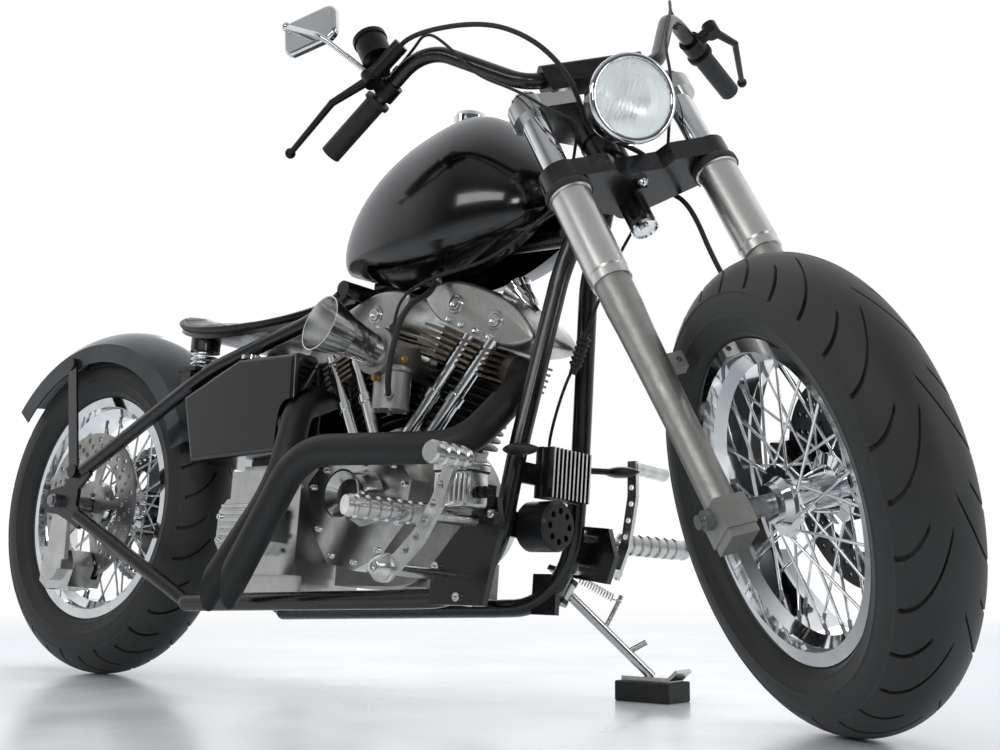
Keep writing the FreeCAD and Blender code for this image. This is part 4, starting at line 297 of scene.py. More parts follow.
def finish(name, base, second, cloud=60, rough=(0.2, 0.35), metallic=0.0, grain=0.6, relief=0.05,
           coat=0.0, stretch=(1, 1, 1), edge=None, sheen=0.0):
    """A surface with two tones, wandering gloss and a raised grain, sizes in millimetres."""
    material, tree = new_material(name)
    where = add(tree, "ShaderNodeTexCoord")
    spread = add(tree, "ShaderNodeMapping", {"Vector": where.outputs["Object"], "Scale": stretch})
    clouds = add(tree, "ShaderNodeTexNoise", {
        "Vector": spread.outputs[0], "Scale": 1000 / cloud, "Detail": 6, "Roughness": 0.6})
    fine = add(tree, "ShaderNodeTexNoise", {
        "Vector": spread.outputs[0], "Scale": 1000 / grain, "Detail": 3})
    mix = add(tree, "ShaderNodeMapRange", {
        "Value": clouds.outputs["Fac"], "From Min": 0.36, "From Max": 0.66})
    colour = add(tree, "ShaderNodeMix", {
        "Factor": mix.outputs["Result"], "A": tone(base), "B": tone(second)}, data_type="RGBA")
    shade = colour.outputs["Result"]
    if edge:
        rounded = add(tree, "ShaderNodeBevel", {"Radius": RUBBED_WIDTH}, samples=4)
        flat = add(tree, "ShaderNodeNewGeometry")
        same = add(tree, "ShaderNodeVectorMath", {
            0: rounded.outputs[0], 1: flat.outputs["Normal"]}, operation="DOT_PRODUCT")
        worn = add(tree, "ShaderNodeMapRange", {
            "Value": same.outputs["Value"], "From Min": 0.93, "From Max": 0.80})
        broken = add(tree, "ShaderNodeMath", {
            0: worn.outputs["Result"], 1: mix.outputs["Result"]}, operation="MULTIPLY")
        rubbed = add(tree, "ShaderNodeMix", {
            "Factor": broken.outputs[0], "A": shade, "B": tone(edge)}, data_type="RGBA")
        shade = rubbed.outputs["Result"]
    gloss = add(tree, "ShaderNodeMapRange", {
        "Value": clouds.outputs["Fac"], "From Min": 0.3, "From Max": 0.7,
        "To Min": rough[0], "To Max": rough[1]})
    bump = add(tree, "ShaderNodeBump", {
        "Height": fine.outputs["Fac"], "Strength": 1.0, "Distance": relief / 1000})
    surface = add(tree, "ShaderNodeBsdfPrincipled", {
        "Base Color": shade, "Roughness": gloss.outputs["Result"], "Metallic": metallic,
        "Normal": bump.outputs[0], "Coat Weight": coat, "Coat Roughness": 0.04,
        "Sheen Weight": sheen})
    add(tree, "ShaderNodeOutputMaterial", {"Surface": surface.outputs[0]})
    return material


print("recipe ready")

# %% [markdown]
# Now the metals. Chromium plating is nearly white and mirror-smooth, with faint
# wiping marks. Polished aluminium is greyer and softer. Sand-cast aluminium keeps the
# grain of its mould. Turned or brushed covers show fine lines along one direction.

# %% Bare and plated metals
# Decorative chromium over nickel, buffed: sharp reflections with faint wiping marks.
chrome = finish("chromium_plate", "#eceded", "#dcdee0", cloud=45, rough=(0.03, 0.09), metallic=1.0,
                grain=8, relief=0.01)
# Aluminium casting, polished by hand on a wheel: bright with soft streaks.
polished = finish("polished_aluminium_casting", "#cfcfcd", "#c2c2c0", cloud=35, rough=(0.14, 0.25),
                  metallic=1.0, grain=2.5, relief=0.03)
# Sand-cast aluminium, blasted: grey, grainy and matt, with darker stains.
cast = finish("sand_cast_aluminium", "#a9a8a5", "#9c9b97", cloud=28, rough=(0.36, 0.52),
              metallic=0.9, grain=1.4, relief=0.22, edge="#c9c8c4")
# Die-cast aluminium of covers and rocker boxes: tighter grain, lightly buffed.
buffed_cast = finish("buffed_aluminium_casting", "#c6c5c2", "#b6b5b1", cloud=22,
                     rough=(0.24, 0.40), metallic=0.95, grain=1.0, relief=0.10, edge="#e0dfdc")
# Heat-stained aluminium fins of the cylinder heads: brownish grey with baked oil.
stained = finish("heat_stained_aluminium", "#8f867a", "#5f564c", cloud=18, rough=(0.38, 0.55),
                 metallic=0.85, grain=1.2, relief=0.15, edge="#b0a89c")
# Turned aluminium sleeve, brushed along its length: long fine lines.
brushed = finish("brushed_aluminium", "#e2e1de", "#d4d3d0", cloud=60, rough=(0.26, 0.36),
                 metallic=1.0, grain=0.9, relief=0.04, stretch=(1.0, 1.0, 0.06))
# Machined billet aluminium of the foot controls: bright and satin.
billet = finish("machined_billet_aluminium", "#dddddb", "#c4c4c2", cloud=20, rough=(0.18, 0.30),
                metallic=1.0, grain=0.8, relief=0.02, edge="#f0f0ee")
# Zinc-plated and oiled steel of springs, axles and chain: greyer and duller.
steel = finish("zinc_plated_steel", "#a9aaab", "#7f8081", cloud=15, rough=(0.25, 0.42),
               metallic=1.0, grain=0.9, relief=0.03)
# Stainless brake disc, ground: satin with a slightly warm tone.
disc_steel = finish("ground_stainless_steel", "#b4b3b0", "#93928f", cloud=30, rough=(0.26, 0.38),
                    metallic=1.0, grain=0.7, relief=0.03)
print("metals: 9")

# %% [markdown]
# Painted, coated, rubber and plastic surfaces follow. The tank has deep gloss paint
# under clear lacquer, the frame a thinner coat, and the pipes a matt coat that stands
# heat.

# %% Coats, rubber and plastic
# Black enamel under clear lacquer, flatted and polished: deep, with slight orange peel.
tank_black = finish("black_enamel_with_lacquer", "#020203", "#040405", cloud=120,
                    rough=(0.12, 0.20), grain=3.0, relief=0.006, coat=0.35)
# Powder coat on frame tubes: black, glossy but thick, so its reflections are soft.
frame_black = finish("black_powder_coat", "#0c0c0d", "#121213", cloud=40, rough=(0.20, 0.32),
                     grain=1.2, relief=0.03, coat=0.25, edge="#1d1d1f")
# Heat-proof paint on pipes: matt, sooty, a little paler where rubbed.
pipe_black = finish("matt_heatproof_paint", "#101010", "#191918", cloud=35, rough=(0.42, 0.58),
                    grain=1.0, relief=0.06, edge="#2b2a29")
# Black-painted cast iron of the barrels: matt, with paler patches of dust.
iron_black = finish("black_painted_cast_iron", "#131211", "#24211d", cloud=14, rough=(0.45, 0.62),
                    metallic=0.2, grain=1.2, relief=0.16, edge="#3c3832")
# Dark satin paint on the rolled steel fender.
fender_paint = finish("dark_satin_fender_paint", "#3b4042", "#2e3234", cloud=70,
                      rough=(0.18, 0.30), metallic=0.5, grain=1.5, relief=0.02, coat=0.3)
# Moulded black rubber of grips and boots: matt with a slight bloom.
rubber = finish("moulded_black_rubber", "#131313", "#1d1d1c", cloud=12, rough=(0.55, 0.72),
                grain=0.8, relief=0.05, sheen=0.1)
# Black moulded plastic of lamps and the regulator.
plastic = finish("moulded_black_plastic", "#101011", "#18181a", cloud=18, rough=(0.30, 0.42),
                 grain=0.9, relief=0.04)
# Anodised black aluminium of levers and calipers.
anodised = finish("black_anodised_aluminium", "#151516", "#222224", cloud=16, rough=(0.28, 0.40),
                  metallic=0.6, grain=0.8, relief=0.03, edge="#47474a")
print("coats: 8")

# %% [markdown]
# Each solid that already has its real shape only needs its finish, and the table gives
# it. Two solids have a second finish on some faces: the plates that carry the footrests
# are black, and so is the clamp that holds the handlebar on the upper tree.

# %% Finishes of the ready solids
def dress(material, *names):
    """Give solids of the construction model one finish."""
    for name in names:
        nodes[name].data.materials.clear()
        nodes[name].data.materials.append(material)


dress(chrome, "rear_wheel", "front_wheel", "fork_tubes", "filler_caps", "mirror", "horn",
      "pushrod_tubes", "seat_springs", "headlight")
dress(polished, "velocity_stack", "upper_tree", "gearbox", "engine_covers", "rear_caliper",
      "side_stand")
dress(cast, "fork_sliders", "crankcase", "carburettor")
dress(buffed_cast, "rocker_boxes")
dress(stained, "cylinder_heads")
dress(brushed, "fork_covers")
dress(billet, "footrests", "foot_levers", "rear_master_cylinder")
dress(steel, "rear_axle", "front_axle", "drive_chain")
dress(disc_steel, "rear_disc")
dress(tank_black, "fuel_tank", "oil_tank")
dress(frame_black, "frame_backbone", "frame_cradle", "frame_stays", "handlebar", "lower_tree",
      "seat_pan", "rear_sprocket")
dress(pipe_black, "exhausts")
dress(iron_black, "cylinders")
dress(fender_paint, "rear_fender")
dress(rubber, "grips", "stand_pad", "front_brake_hose", "throttle_cable", "clutch_cable",
      "fuel_hose", "rear_tyre", "front_tyre")
dress(plastic, "indicators", "oil_filter")
dress(anodised, "hand_levers", "front_caliper", "front_disc")


def part_dress(material, name, frame_matrix, inside):
    """Give some faces of a solid a second finish, chosen by their place in a frame."""
    solid = nodes[name]
    solid.data.materials.append(material)
    to_frame = frame_matrix.inverted() @ solid.matrix_world
    for face in solid.data.polygons:
        if inside(to_frame @ face.center):
            face.material_index = 1


part_dress(frame_black, "footrests", BIKE, lambda p: 114 < abs(p.y) < 126.5 and p.z < -10)
part_dress(anodised, "upper_tree", FORK, lambda p: p.z > 733 and p.x > 50 and abs(p.y) < 88)
print("solids with a finish:", sum(bool(solid.data.materials) for solid in nodes.values()))

# %% [markdown]
# The lens of the headlight is pressed glass. It is made here as a material, and the
# lens itself follows with the lamp. Shadow rays pass it, or its bowl would stay dark.

# %% Glass
def clear_glass():
    """Pressed lamp glass: clear, with a faint green edge and fine dust."""
    material, tree = new_material("pressed_lamp_glass")
    where = add(tree, "ShaderNodeTexCoord")
    dust = add(tree, "ShaderNodeTexNoise", {
        "Vector": where.outputs["Object"], "Scale": 60, "Detail": 4})
    haze = add(tree, "ShaderNodeMapRange", {
        "Value": dust.outputs["Fac"], "From Min": 0.4, "From Max": 0.7,
        "To Min": 0.01, "To Max": 0.05})
    bump = add(tree, "ShaderNodeBump", {
        "Height": dust.outputs["Fac"], "Strength": 0.2, "Distance": 0.0002})
    surface = add(tree, "ShaderNodeBsdfPrincipled", {
        "Base Color": tone("#f9fbfb"), "Roughness": haze.outputs["Result"], "IOR": 1.3,
        "Transmission Weight": 1.0, "Normal": bump.outputs[0]})
    path = add(tree, "ShaderNodeLightPath")
    clear = add(tree, "ShaderNodeBsdfTransparent", {"Color": tone("#f4f8f7")})
    whole = add(tree, "ShaderNodeMixShader", {
        0: path.outputs["Is Shadow Ray"], 1: surface.outputs[0], 2: clear.outputs[0]})
    add(tree, "ShaderNodeOutputMaterial", {"Surface": whole.outputs[0]})
    return material


glass = clear_glass()
dress(glass, "headlight_glass")
print("glass ready")

# %% [markdown]
# ## Modelling helpers
# Turned parts are drawn as half an outline and spun about their axis, just as on a
# lathe. By hand this is: add a plane, keep one corner, extrude it along the outline,
# and spin. The outline holds distances from the axis and along it, in millimetres.

# %% Lathe
def settle(piece, material, body):
    """Give a finished piece its finish and the body that it moves with."""
    piece.data.materials.clear()
    piece.data.materials.append(material)
    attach(piece, body)
    return piece


def start_points(name, points):
    """A chain of points, extruded one after another from a single corner."""
    bpy.ops.object.select_all(action="DESELECT")
    bpy.ops.mesh.primitive_plane_add(size=2)
    piece = bpy.context.object
    piece.name = name
    piece.data.name = name
    bpy.ops.object.mode_set(mode="EDIT")
    edit = bmesh.from_edit_mesh(piece.data)
    corners = list(edit.verts)
    for corner in corners[1:]:
        edit.verts.remove(corner)
    first = edit.verts[:][0]
    first.co = points[0]
    first.select = True
    bmesh.update_edit_mesh(piece.data)
    for here, there in zip(points, points[1:]):
        step = Vector(there) - Vector(here)
        bpy.ops.mesh.extrude_region_move(TRANSFORM_OT_translate={"value": step})
    return piece


def lathe(name, outline, steps=48, place=None, sharp=35):
    """Spin an outline of (radius, along) about Y and carry it to its place."""
    piece = start_points(name, [(radius, along, 0) for radius, along in outline])
    bpy.ops.mesh.select_all(action="SELECT")
    bpy.ops.mesh.spin(steps=steps, angle=2 * math.pi, center=(0, 0, 0), axis=(0, 1, 0))
    bpy.ops.mesh.select_all(action="SELECT")
    bpy.ops.mesh.remove_doubles(threshold=0.001)
    bpy.ops.mesh.dissolve_degenerate(threshold=0.0005)
    bpy.ops.mesh.select_all(action="SELECT")
    bpy.ops.mesh.normals_make_consistent(inside=False)
    bpy.ops.object.mode_set(mode="OBJECT")
    bpy.ops.object.shade_smooth_by_angle(angle=math.radians(sharp))
    if place is not None:
        piece.data.transform(place)
    return piece


def aim(start, heading):
    """A matrix that stands the Y axis of a turned part along a heading."""
    turn = Vector((0, 1, 0)).rotation_difference(Vector(heading)).to_matrix().to_4x4()
    return Matrix.Translation(Vector(start)) @ turn


print("lathe ready")

# %% [markdown]
# What repeats, such as screws and chain links, is modelled once and copied, and each copy
# gets a mesh of its own. A row of places gives each copy a start and the heading that its
# axis takes. Pieces that belong together are then joined into one object.

# %% Copies and groups
def pick(*pieces):
    """Select some pieces alone; the first one becomes the active one."""
    bpy.ops.object.select_all(action="DESELECT")
    for piece in pieces:
        piece.select_set(True)
    bpy.context.view_layer.objects.active = pieces[0]


def joined(name, parts):
    """One object from several finished ones."""
    pick(*parts)
    if len(parts) > 1:
        bpy.ops.object.join()
    parts[0].name = name
    parts[0].data.name = name
    return parts[0]


def copies(name, pattern, spots):
    """A piece modelled once and copied to each spot; the pattern itself goes."""
    made = []
    for place in spots:
        twin = pattern.copy()
        twin.data = pattern.data.copy()
        twin.data.transform(place)
        bpy.context.scene.collection.objects.link(twin)
        made.append(twin)
    bpy.data.objects.remove(pattern)
    return joined(name, made)


def assembled(name, parts, material):
    """Join parts drawn on the upright bike, carry them to it and settle them on it."""
    whole = joined(name, parts)
    whole.data.transform(BIKE)
    return settle(whole, material, "chassis")


def set_out(name, pattern, frame_matrix, rows, material, body):
    """Copy a pattern to rows of (start, heading) in a frame, and settle the group."""
    spots = [frame_matrix @ aim(start, heading) for start, heading in rows]
    return settle(copies(name, pattern, spots), material, body)


def ring(radius, count, start=0):
    """Evenly spaced points of a circle, from a start angle in degrees."""
    angles = [math.radians(start + 360 * i / count) for i in range(count)]
    return [(radius * math.cos(angle), radius * math.sin(angle)) for angle in angles]


print("copies ready")

# %% [markdown]
# ## Tyres
# A road tyre has a round crown with cut grooves, a shoulder, and a side wall with a
# few thin ribs. The outline is spun into a plain tyre first. The grooves all follow one
# curve from the middle to the shoulder, so the columns of the mesh are slid along that
# curve, and whole columns are then pressed in. The edges of the grooves stay crisp,
# with far fewer faces than a fine grid would need. All lengths are in millimetres and
# the crown's edge is an angle in degrees.

# %% Tyre outline
TYRE_RADIUS = 320
CROWN_RADIUS = 70
CROWN_EDGE = 62
TREAD_ROWS = 64


def tyre_outline():
    """Half-plane outline of a tyre: crown from side to side, then both walls."""
    hoop = TYRE_RADIUS - CROWN_RADIUS
    crown = []
    for i in range(TREAD_ROWS + 1):
        angle = math.radians(-CROWN_EDGE + 2 * CROWN_EDGE * i / TREAD_ROWS)
        crown.append((hoop + CROWN_RADIUS * math.cos(angle), CROWN_RADIUS * math.sin(angle)))
    wall = [(281, 62.6), (279, 62.2), (272, 64.6), (262, 65.8), (252, 66), (250.8, 66.7),
            (248.6, 66.7), (247.4, 65.7), (240, 63.6), (230, 58.6), (228.8, 58.9), (226.6, 57.6),
            (225.4, 55.8), (221, 50.5), (218.4, 44.5), (218, 42.5)]
    other = [(radius, -along) for radius, along in reversed(wall)]
    inside = [(205, 42.5), (205, 36), (232, 49), (262, 56.5), (300, 40), (310, 0), (300, -40),
              (262, -56.5), (232, -49), (205, -36), (205, -42.5)]
    return other + crown + wall + inside


print("outline points:", len(tyre_outline()))

# %% [markdown]
# The tread repeats all round the tyre. In each repeat, either side has one long and one
# short groove, a quarter of a repeat away from those of the other side. A groove is
# 4.8 mm wide at its floor, with steep walls, and runs out softly at both its ends.

# %% Columns of the tread
GROOVE_HALF = 2.4
GROOVE_WALL = 1.6


def tread_columns(repeats):
    """Column angles round the tyre, and for each column which side's groove it is in."""
    pitch = 2 * math.pi / repeats
    wall, half = GROOVE_WALL / TYRE_RADIUS, GROOVE_HALF / TYRE_RADIUS
    marks = []
    for side, starts in ((1, (0.10, 0.60)), (-1, (0.35, 0.85))):
        for kind, start in enumerate(starts):
            centre = start * pitch
            marks += [(centre - half - wall, 0, 0), (centre - half, side, kind + 1),
                      (centre + half, side, kind + 1), (centre + half + wall, 0, 0)]
    for plain in (0.0, 0.05, 0.17, 0.23, 0.29, 0.41, 0.475, 0.54, 0.67, 0.725, 0.79, 0.91, 0.96):
        marks.append((plain * pitch, 0, 0))
    marks.sort()
    table = []
    for k in range(repeats):
        table += [(k * pitch + angle, side, kind) for angle, side, kind in marks]
    return table


print("columns round a tyre:", len(tread_columns(14)), "and", len(tread_columns(16)))

# %% [markdown]
# Every column knows its angle and its groove, so the pressing is the same sum for all
# points. How far a point lies towards the shoulder says how far it slides round the
# tyre. A groove's points sink towards the middle of the crown's circle, so its floor
# keeps the round shape of the tyre.

# %% Pressing the grooves
GROOVE_DEPTH = 5.0
GROOVE_CURVE = 2.1
RUN_IN, RUN_OUT = 0.04, 0.03


def press(piece, repeats, sweep, spans):
    """Slide the columns along the groove curve and press the grooves in."""
    table = tread_columns(repeats)
    steps = len(table)
    count = len(piece.data.vertices)
    co = np.zeros(count * 3)
    piece.data.vertices.foreach_get("co", co)
    co = co.reshape(-1, 3)
    radius = np.hypot(co[:, 0], co[:, 2])
    column = np.round(np.arctan2(-co[:, 2], co[:, 0]) / (2 * math.pi) * steps).astype(int) % steps
    table = np.array(table)
    angle, side, kind = table[column, 0], table[column, 1], table[column, 2]
    hoop = TYRE_RADIUS - CROWN_RADIUS
    across = np.degrees(np.arctan2(co[:, 1], radius - hoop))
    share = np.clip(np.abs(across) / CROWN_EDGE, 0, 1)
    on_crown = np.hypot(radius - hoop, co[:, 1]) > CROWN_RADIUS - 0.5
    outer = on_crown & (np.abs(across) < CROWN_EDGE + 0.5)
    angle = angle + sweep * (1 - (1 - share) ** GROOVE_CURVE) / TYRE_RADIUS
    low = np.where(kind == 1, spans[0][0], spans[1][0])
    high = np.where(kind == 1, spans[0][1], spans[1][1])
    ends = np.clip((share - low) / RUN_IN, 0, 1) * np.clip((high - share) / RUN_OUT, 0, 1)
    groove = outer * (kind > 0) * (np.sign(across) == side) * ends
    shrink = 1 - groove * GROOVE_DEPTH / CROWN_RADIUS
    radius = hoop + (radius - hoop) * shrink
    co[:, 0] = radius * np.cos(angle)
    co[:, 1] *= shrink
    co[:, 2] = -radius * np.sin(angle)
    piece.data.vertices.foreach_set("co", co.ravel())
    # How deep each point is pressed in; the rubber uses it to paint shade into the grooves.
    cut = piece.data.attributes.new("groove", "FLOAT", "POINT")
    cut.data.foreach_set("value", groove.astype(np.float32))
    piece.data.update()


print("deepest groove:", GROOVE_DEPTH, "mm")

# %% [markdown]
# Tyre rubber is a matt near-black with brownish dust on it. The grooves get painted shade:
# their colour is darkened to stand in for the shade that falls in them. The mesh carries how
# deep each point was pressed in as an attribute, and the material reads it to paint that shade.

# %% Tyre rubber
def road_rubber():
    """Moulded tyre rubber: matt near-black, dusty tread, painted shade in the grooves."""
    material, tree = new_material("vulcanised_tyre_rubber")
    where = add(tree, "ShaderNodeTexCoord")
    cut = add(tree, "ShaderNodeAttribute", attribute_name="groove")
    clouds = add(tree, "ShaderNodeTexNoise", {
        "Vector": where.outputs["Object"], "Scale": 14, "Detail": 7})
    fine = add(tree, "ShaderNodeTexNoise", {
        "Vector": where.outputs["Object"], "Scale": 900, "Detail": 2})
    mix = add(tree, "ShaderNodeMapRange", {
        "Value": clouds.outputs["Fac"], "From Min": 0.35, "From Max": 0.65})
    worn = add(tree, "ShaderNodeMix", {
        "Factor": mix.outputs["Result"], "A": tone("#1c1c1c"), "B": tone("#252524")},
        data_type="RGBA")
    # Painted shade: the grooves are mixed towards near-black by how deep they are pressed.
    dark = add(tree, "ShaderNodeMix", {
        "Factor": cut.outputs["Fac"], "A": worn.outputs["Result"], "B": tone("#090909")},
        data_type="RGBA")
    gloss = add(tree, "ShaderNodeMapRange", {
        "Value": clouds.outputs["Fac"], "To Min": 0.5, "To Max": 0.68})
    bump = add(tree, "ShaderNodeBump", {
        "Height": fine.outputs["Fac"], "Strength": 1.0, "Distance": 0.00008})
    surface = add(tree, "ShaderNodeBsdfPrincipled", {
        "Base Color": dark.outputs["Result"], "Roughness": gloss.outputs["Result"],
        "Normal": bump.outputs[0], "Sheen Weight": 0.12, "Sheen Roughness": 0.4})
    add(tree, "ShaderNodeOutputMaterial", {"Surface": surface.outputs[0]})
    return material


tyre_rubber = road_rubber()
print("rubber ready")

# %% [markdown]
# Both tyres come from one function. Each has its own number of repeats and its own sweep,
# which is how far a groove runs round the tyre from the middle to the shoulder. The spans
# say where the long and the short grooves begin and end, as shares of the half crown.

# %% Both tyres
TREAD_SHARP = 28


def make_tyre(name, node, body, place, repeats, sweep, spans):
    """One tyre: spun, grooved and put on its wheel."""
    steps = len(tread_columns(repeats))
    outline = tyre_outline()
    piece = lathe(name, outline + outline[:1], steps=steps, sharp=TREAD_SHARP)
    press(piece, repeats, sweep, spans)
    bpy.ops.object.shade_smooth_by_angle(angle=math.radians(TREAD_SHARP))
    piece.data.transform(place)
    settle(piece, tyre_rubber, body)
    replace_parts(piece, node)
    return piece


front = make_tyre("front_road_tyre", "front_tyre", "front_wheel_set", FRONT_WHEEL, 14, 120,
                  ((0.08, 0.97), (0.42, 1.02)))
rear = make_tyre("rear_road_tyre", "rear_tyre", "rear_wheel_set", BIKE, 16, 70,
                 ((0.12, 0.9), (0.3, 1.02)))
print("tyre faces:", len(front.data.polygons), len(rear.data.polygons))

# %% [markdown]
# ## Shared pieces
# Flat parts start as an outline that is closed, filled and extruded. Their edges are
# softened a little, because a perfectly sharp edge never catches the light.

# %% Flat parts and soft edges
def soften(piece, width, segments=2, angle=35):
    """Round the sharp edges of a piece."""
    modifier = piece.modifiers.new("soft_edges", "BEVEL")
    modifier.width = width
    modifier.segments = segments
    modifier.limit_method = "ANGLE"
    modifier.angle_limit = math.radians(angle)
    pick(piece)
    bpy.ops.object.modifier_apply(modifier=modifier.name)
    bpy.ops.object.shade_smooth_by_angle(angle=math.radians(40))
    return piece


def slab(name, outline, low, high, soft=0.0, place=None):
    """A plate with an (x, z) outline that reaches from low to high along Y."""
    piece = start_points(name, [(x, low, z) for x, z in outline])
    edit = bmesh.from_edit_mesh(piece.data)
    edit.verts.ensure_lookup_table()
    for corner in edit.verts:
        corner.select = corner.index in (0, len(outline) - 1)
    edit.select_flush_mode()
    bmesh.update_edit_mesh(piece.data)
    bpy.ops.mesh.edge_face_add()
    bpy.ops.mesh.select_all(action="SELECT")
    bpy.ops.mesh.edge_face_add()
    bpy.ops.mesh.select_all(action="SELECT")
    bpy.ops.mesh.extrude_region_move(TRANSFORM_OT_translate={"value": (0, high - low, 0)})
    bpy.ops.mesh.select_all(action="SELECT")
    bpy.ops.mesh.normals_make_consistent(inside=False)
    bpy.ops.object.mode_set(mode="OBJECT")
    if soft:
        soften(piece, soft)
    if place is not None:
        piece.data.transform(place)
    return piece


print("flat parts ready")

# %% [markdown]
# Screws and nuts are turned on the lathe as well. A hexagon could be cut out, but it is
# simpler to flatten one round wall of the turned piece to six sides: the wall of the
# socket, or that of the nut. Each kind is then copied to all its places.

# %% Screws and nuts
def hexed(piece, radius):
    """Turn the round wall at one radius into a hexagon."""
    for vertex in piece.data.vertices:
        reach = math.hypot(vertex.co.x, vertex.co.z)
        if abs(reach - radius) < 0.05:
            angle = math.atan2(vertex.co.z, vertex.co.x) % (math.pi / 3) - math.pi / 6
            shrink = math.cos(math.pi / 6) / math.cos(angle)
            vertex.co.x *= shrink
            vertex.co.z *= shrink
    return piece


def socket_screw(radius, height):
    """Cap screw with a hexagonal socket; its head stands up along Y."""
    hole = radius * 0.55
    outline = [(radius, 0), (radius, height * 0.85), (radius * 0.88, height), (hole + 0.3, height),
               (hole, height - 0.3), (hole, height * 0.45), (0, height * 0.4)]
    return hexed(lathe("screw_pattern", outline, steps=24), hole)


def dome_nut(radius, height):
    """Bright closed nut: a hexagon under a dome."""
    outline = [(radius, 0), (radius, height * 0.5), (radius * 0.8, height * 0.56),
               (radius * 0.76, height * 0.74), (radius * 0.5, height * 0.93), (0, height)]
    return hexed(lathe("nut_pattern", outline, steps=24), radius)


FORWARDS, LEFT, RIGHT, UP, DOWN = (1, 0, 0), (0, 1, 0), (0, -1, 0), (0, 0, 1), (0, 0, -1)
print("screws and nuts ready")

# %% [markdown]
# ## Headlight
# The lamp is a spun steel bowl with a rim that stands proud, a bright reflector inside
# and a domed lens. The back of a pressed lens is fluted: its rings of points are pushed
# in and out along parallel stripes, which spreads the light sideways.

# %% Headlight
FLUTED_RADIUS = 58
FLUTE_PITCH = 6.4
FLUTE_HEIGHT = 0.6
LAMP = FORK @ aim((145, 0, 645), (math.cos(RAKE_ANGLE), 0, -math.sin(RAKE_ANGLE)))
bowl_outline = [(0, -92), (10, -91.6), (18, -91), (28, -88.5), (36, -84), (46, -75), (54, -62),
                (60, -48), (64, -34), (64, -9), (65, -8), (68, -8), (68.6, -6), (68.6, -1),
                (67.4, 1.4), (65, 2.8), (62, 3), (60, 2), (59.3, 0), (59.3, -5)]
bowl = settle(lathe("headlight_bowl", bowl_outline, steps=96, place=LAMP), chrome, "steering")
# Vacuum-coated reflector: a brighter and softer mirror than the plated bowl.
silver = finish("vacuum_silvered_reflector", "#ffffff", "#f6f8f9", cloud=30, rough=(0.26, 0.34),
                metallic=0.4, grain=4.0, relief=0.02)
dish = [(59.2, -4.6), (56, -12), (50, -23), (42, -34), (33, -43), (23, -50), (13, -54), (12, -54),
        (12, -40), (9, -36), (0, -35)]
settle(lathe("headlight_reflector", dish, steps=72, place=LAMP, sharp=50), silver, "steering")
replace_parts(bowl, "headlight")

lens_outline = [(0, 15), (12, 14.6), (24, 13.4), (35, 11.4), (46, 8), (54, 4.2), (58.9, 0.6),
                (58.9, -2)]
lens_outline += [(57.5 - 1.6 * i, -2) for i in range(36)] + [(0, -2)]
lens = lathe("headlight_lens", lens_outline, steps=224, sharp=60)
for vertex in lens.data.vertices:
    if vertex.co.y < -1.9 and math.hypot(vertex.co.x, vertex.co.z) < FLUTED_RADIUS:
        wave = math.cos(vertex.co.x * 2 * math.pi / FLUTE_PITCH)
        vertex.co.y += FLUTE_HEIGHT + FLUTE_HEIGHT * wave
lens.data.transform(LAMP)
settle(lens, glass, "steering")
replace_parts(lens, "headlight_glass")
print("lens faces:", len(lens.data.polygons))

# %% [markdown]
# ## Chain
# The pins of the chain lie on one closed line round both sprockets: two arcs, and the
# two straight runs that touch them. A closed chain has an even number of links, so the
# pitch is adjusted by a hair until the last link meets the first.

# %% Pitch line of the chain
REAR_PITCH = 131.5
FRONT_PITCH = 69.5
SHAFT = Vector((560, 8))
CHAIN_PITCH = 15.875


def arc(centre, radius, start, sweep, steps):
    """Points along an arc, with both its ends."""
    points = []
    for i in range(steps + 1):
        angle = start + sweep * i / steps
        points.append(centre + Vector((radius * math.cos(angle), radius * math.sin(angle))))
    return points


def chain_line():
    """Points along the closed pitch line in the (x, z) plane."""
    tilt = math.atan2(SHAFT.y, SHAFT.x)
    spread = math.acos((REAR_PITCH - FRONT_PITCH) / SHAFT.length)
    points = arc(Vector((0, 0)), REAR_PITCH, tilt + spread, 2 * math.pi - 2 * spread, 120)
    points += arc(SHAFT, FRONT_PITCH, tilt - spread, 2 * spread, 90)
    return points + points[:1]


def run_length(line):
    """Length of a row of points."""
    return sum((b - a).length for a, b in zip(line, line[1:]))


def laid_out(line, count):
    """Evenly spaced points along a closed line."""
    lengths = [(b - a).length for a, b in zip(line, line[1:])]
    step = run_length(line) / count
    made, travelled, k = [], 0.0, 0
    for i in range(count):
        while travelled + lengths[k] < i * step:
            travelled += lengths[k]
            k += 1
        share = (i * step - travelled) / lengths[k]
        made.append(line[k].lerp(line[k + 1], share))
    return made


line = chain_line()
links = 2 * round(run_length(line) / CHAIN_PITCH / 2)
pins = laid_out(line, links)
half_pitch = run_length(line) / links / 2
print("links:", links, "pitch:", round(2 * half_pitch, 2), "mm")

# %% [markdown]
# Outer and inner links take turns. An outer link has its plates outside and its pins
# riveted through them, and an inner link has its plates further in, on two rollers. Each
# kind is modelled once and laid from pin to pin, so the chain bends as a real one does.

# %% Chain links
CHAIN_LINE = 84
PLATE_END = 6.8
PLATE_WAIST = 4.6
plate_outline = [tuple(spot) for spot in arc(Vector((half_pitch, 0)), PLATE_END, math.radians(-75),
                                             math.radians(150), 6)]
plate_outline.append((0, PLATE_WAIST))
plate_outline += [(-x, -z) for x, z in plate_outline]
link_parts = {}
for kind, low, high in (("outer", 6.0, 7.6), ("inner", 4.2, 5.8)):
    parts = [slab("plate", plate_outline, low, high), slab("plate", plate_outline, -high, -low)]
    for end in (-half_pitch, half_pitch):
        if kind == "outer":
            pin = [(0, -8.2), (2.4, -8.2), (2.8, -7.8), (2.8, 7.8), (2.4, 8.2), (0, 8.2)]
        else:
            pin = [(3.2, -4.3), (5.1, -4.3), (5.1, 4.3), (3.2, 4.3)]
        parts.append(lathe("pin", pin, steps=12, place=Matrix.Translation((end, 0, 0))))
    link_parts[kind] = joined(kind + "_link", parts)
spots = {"outer": [], "inner": []}
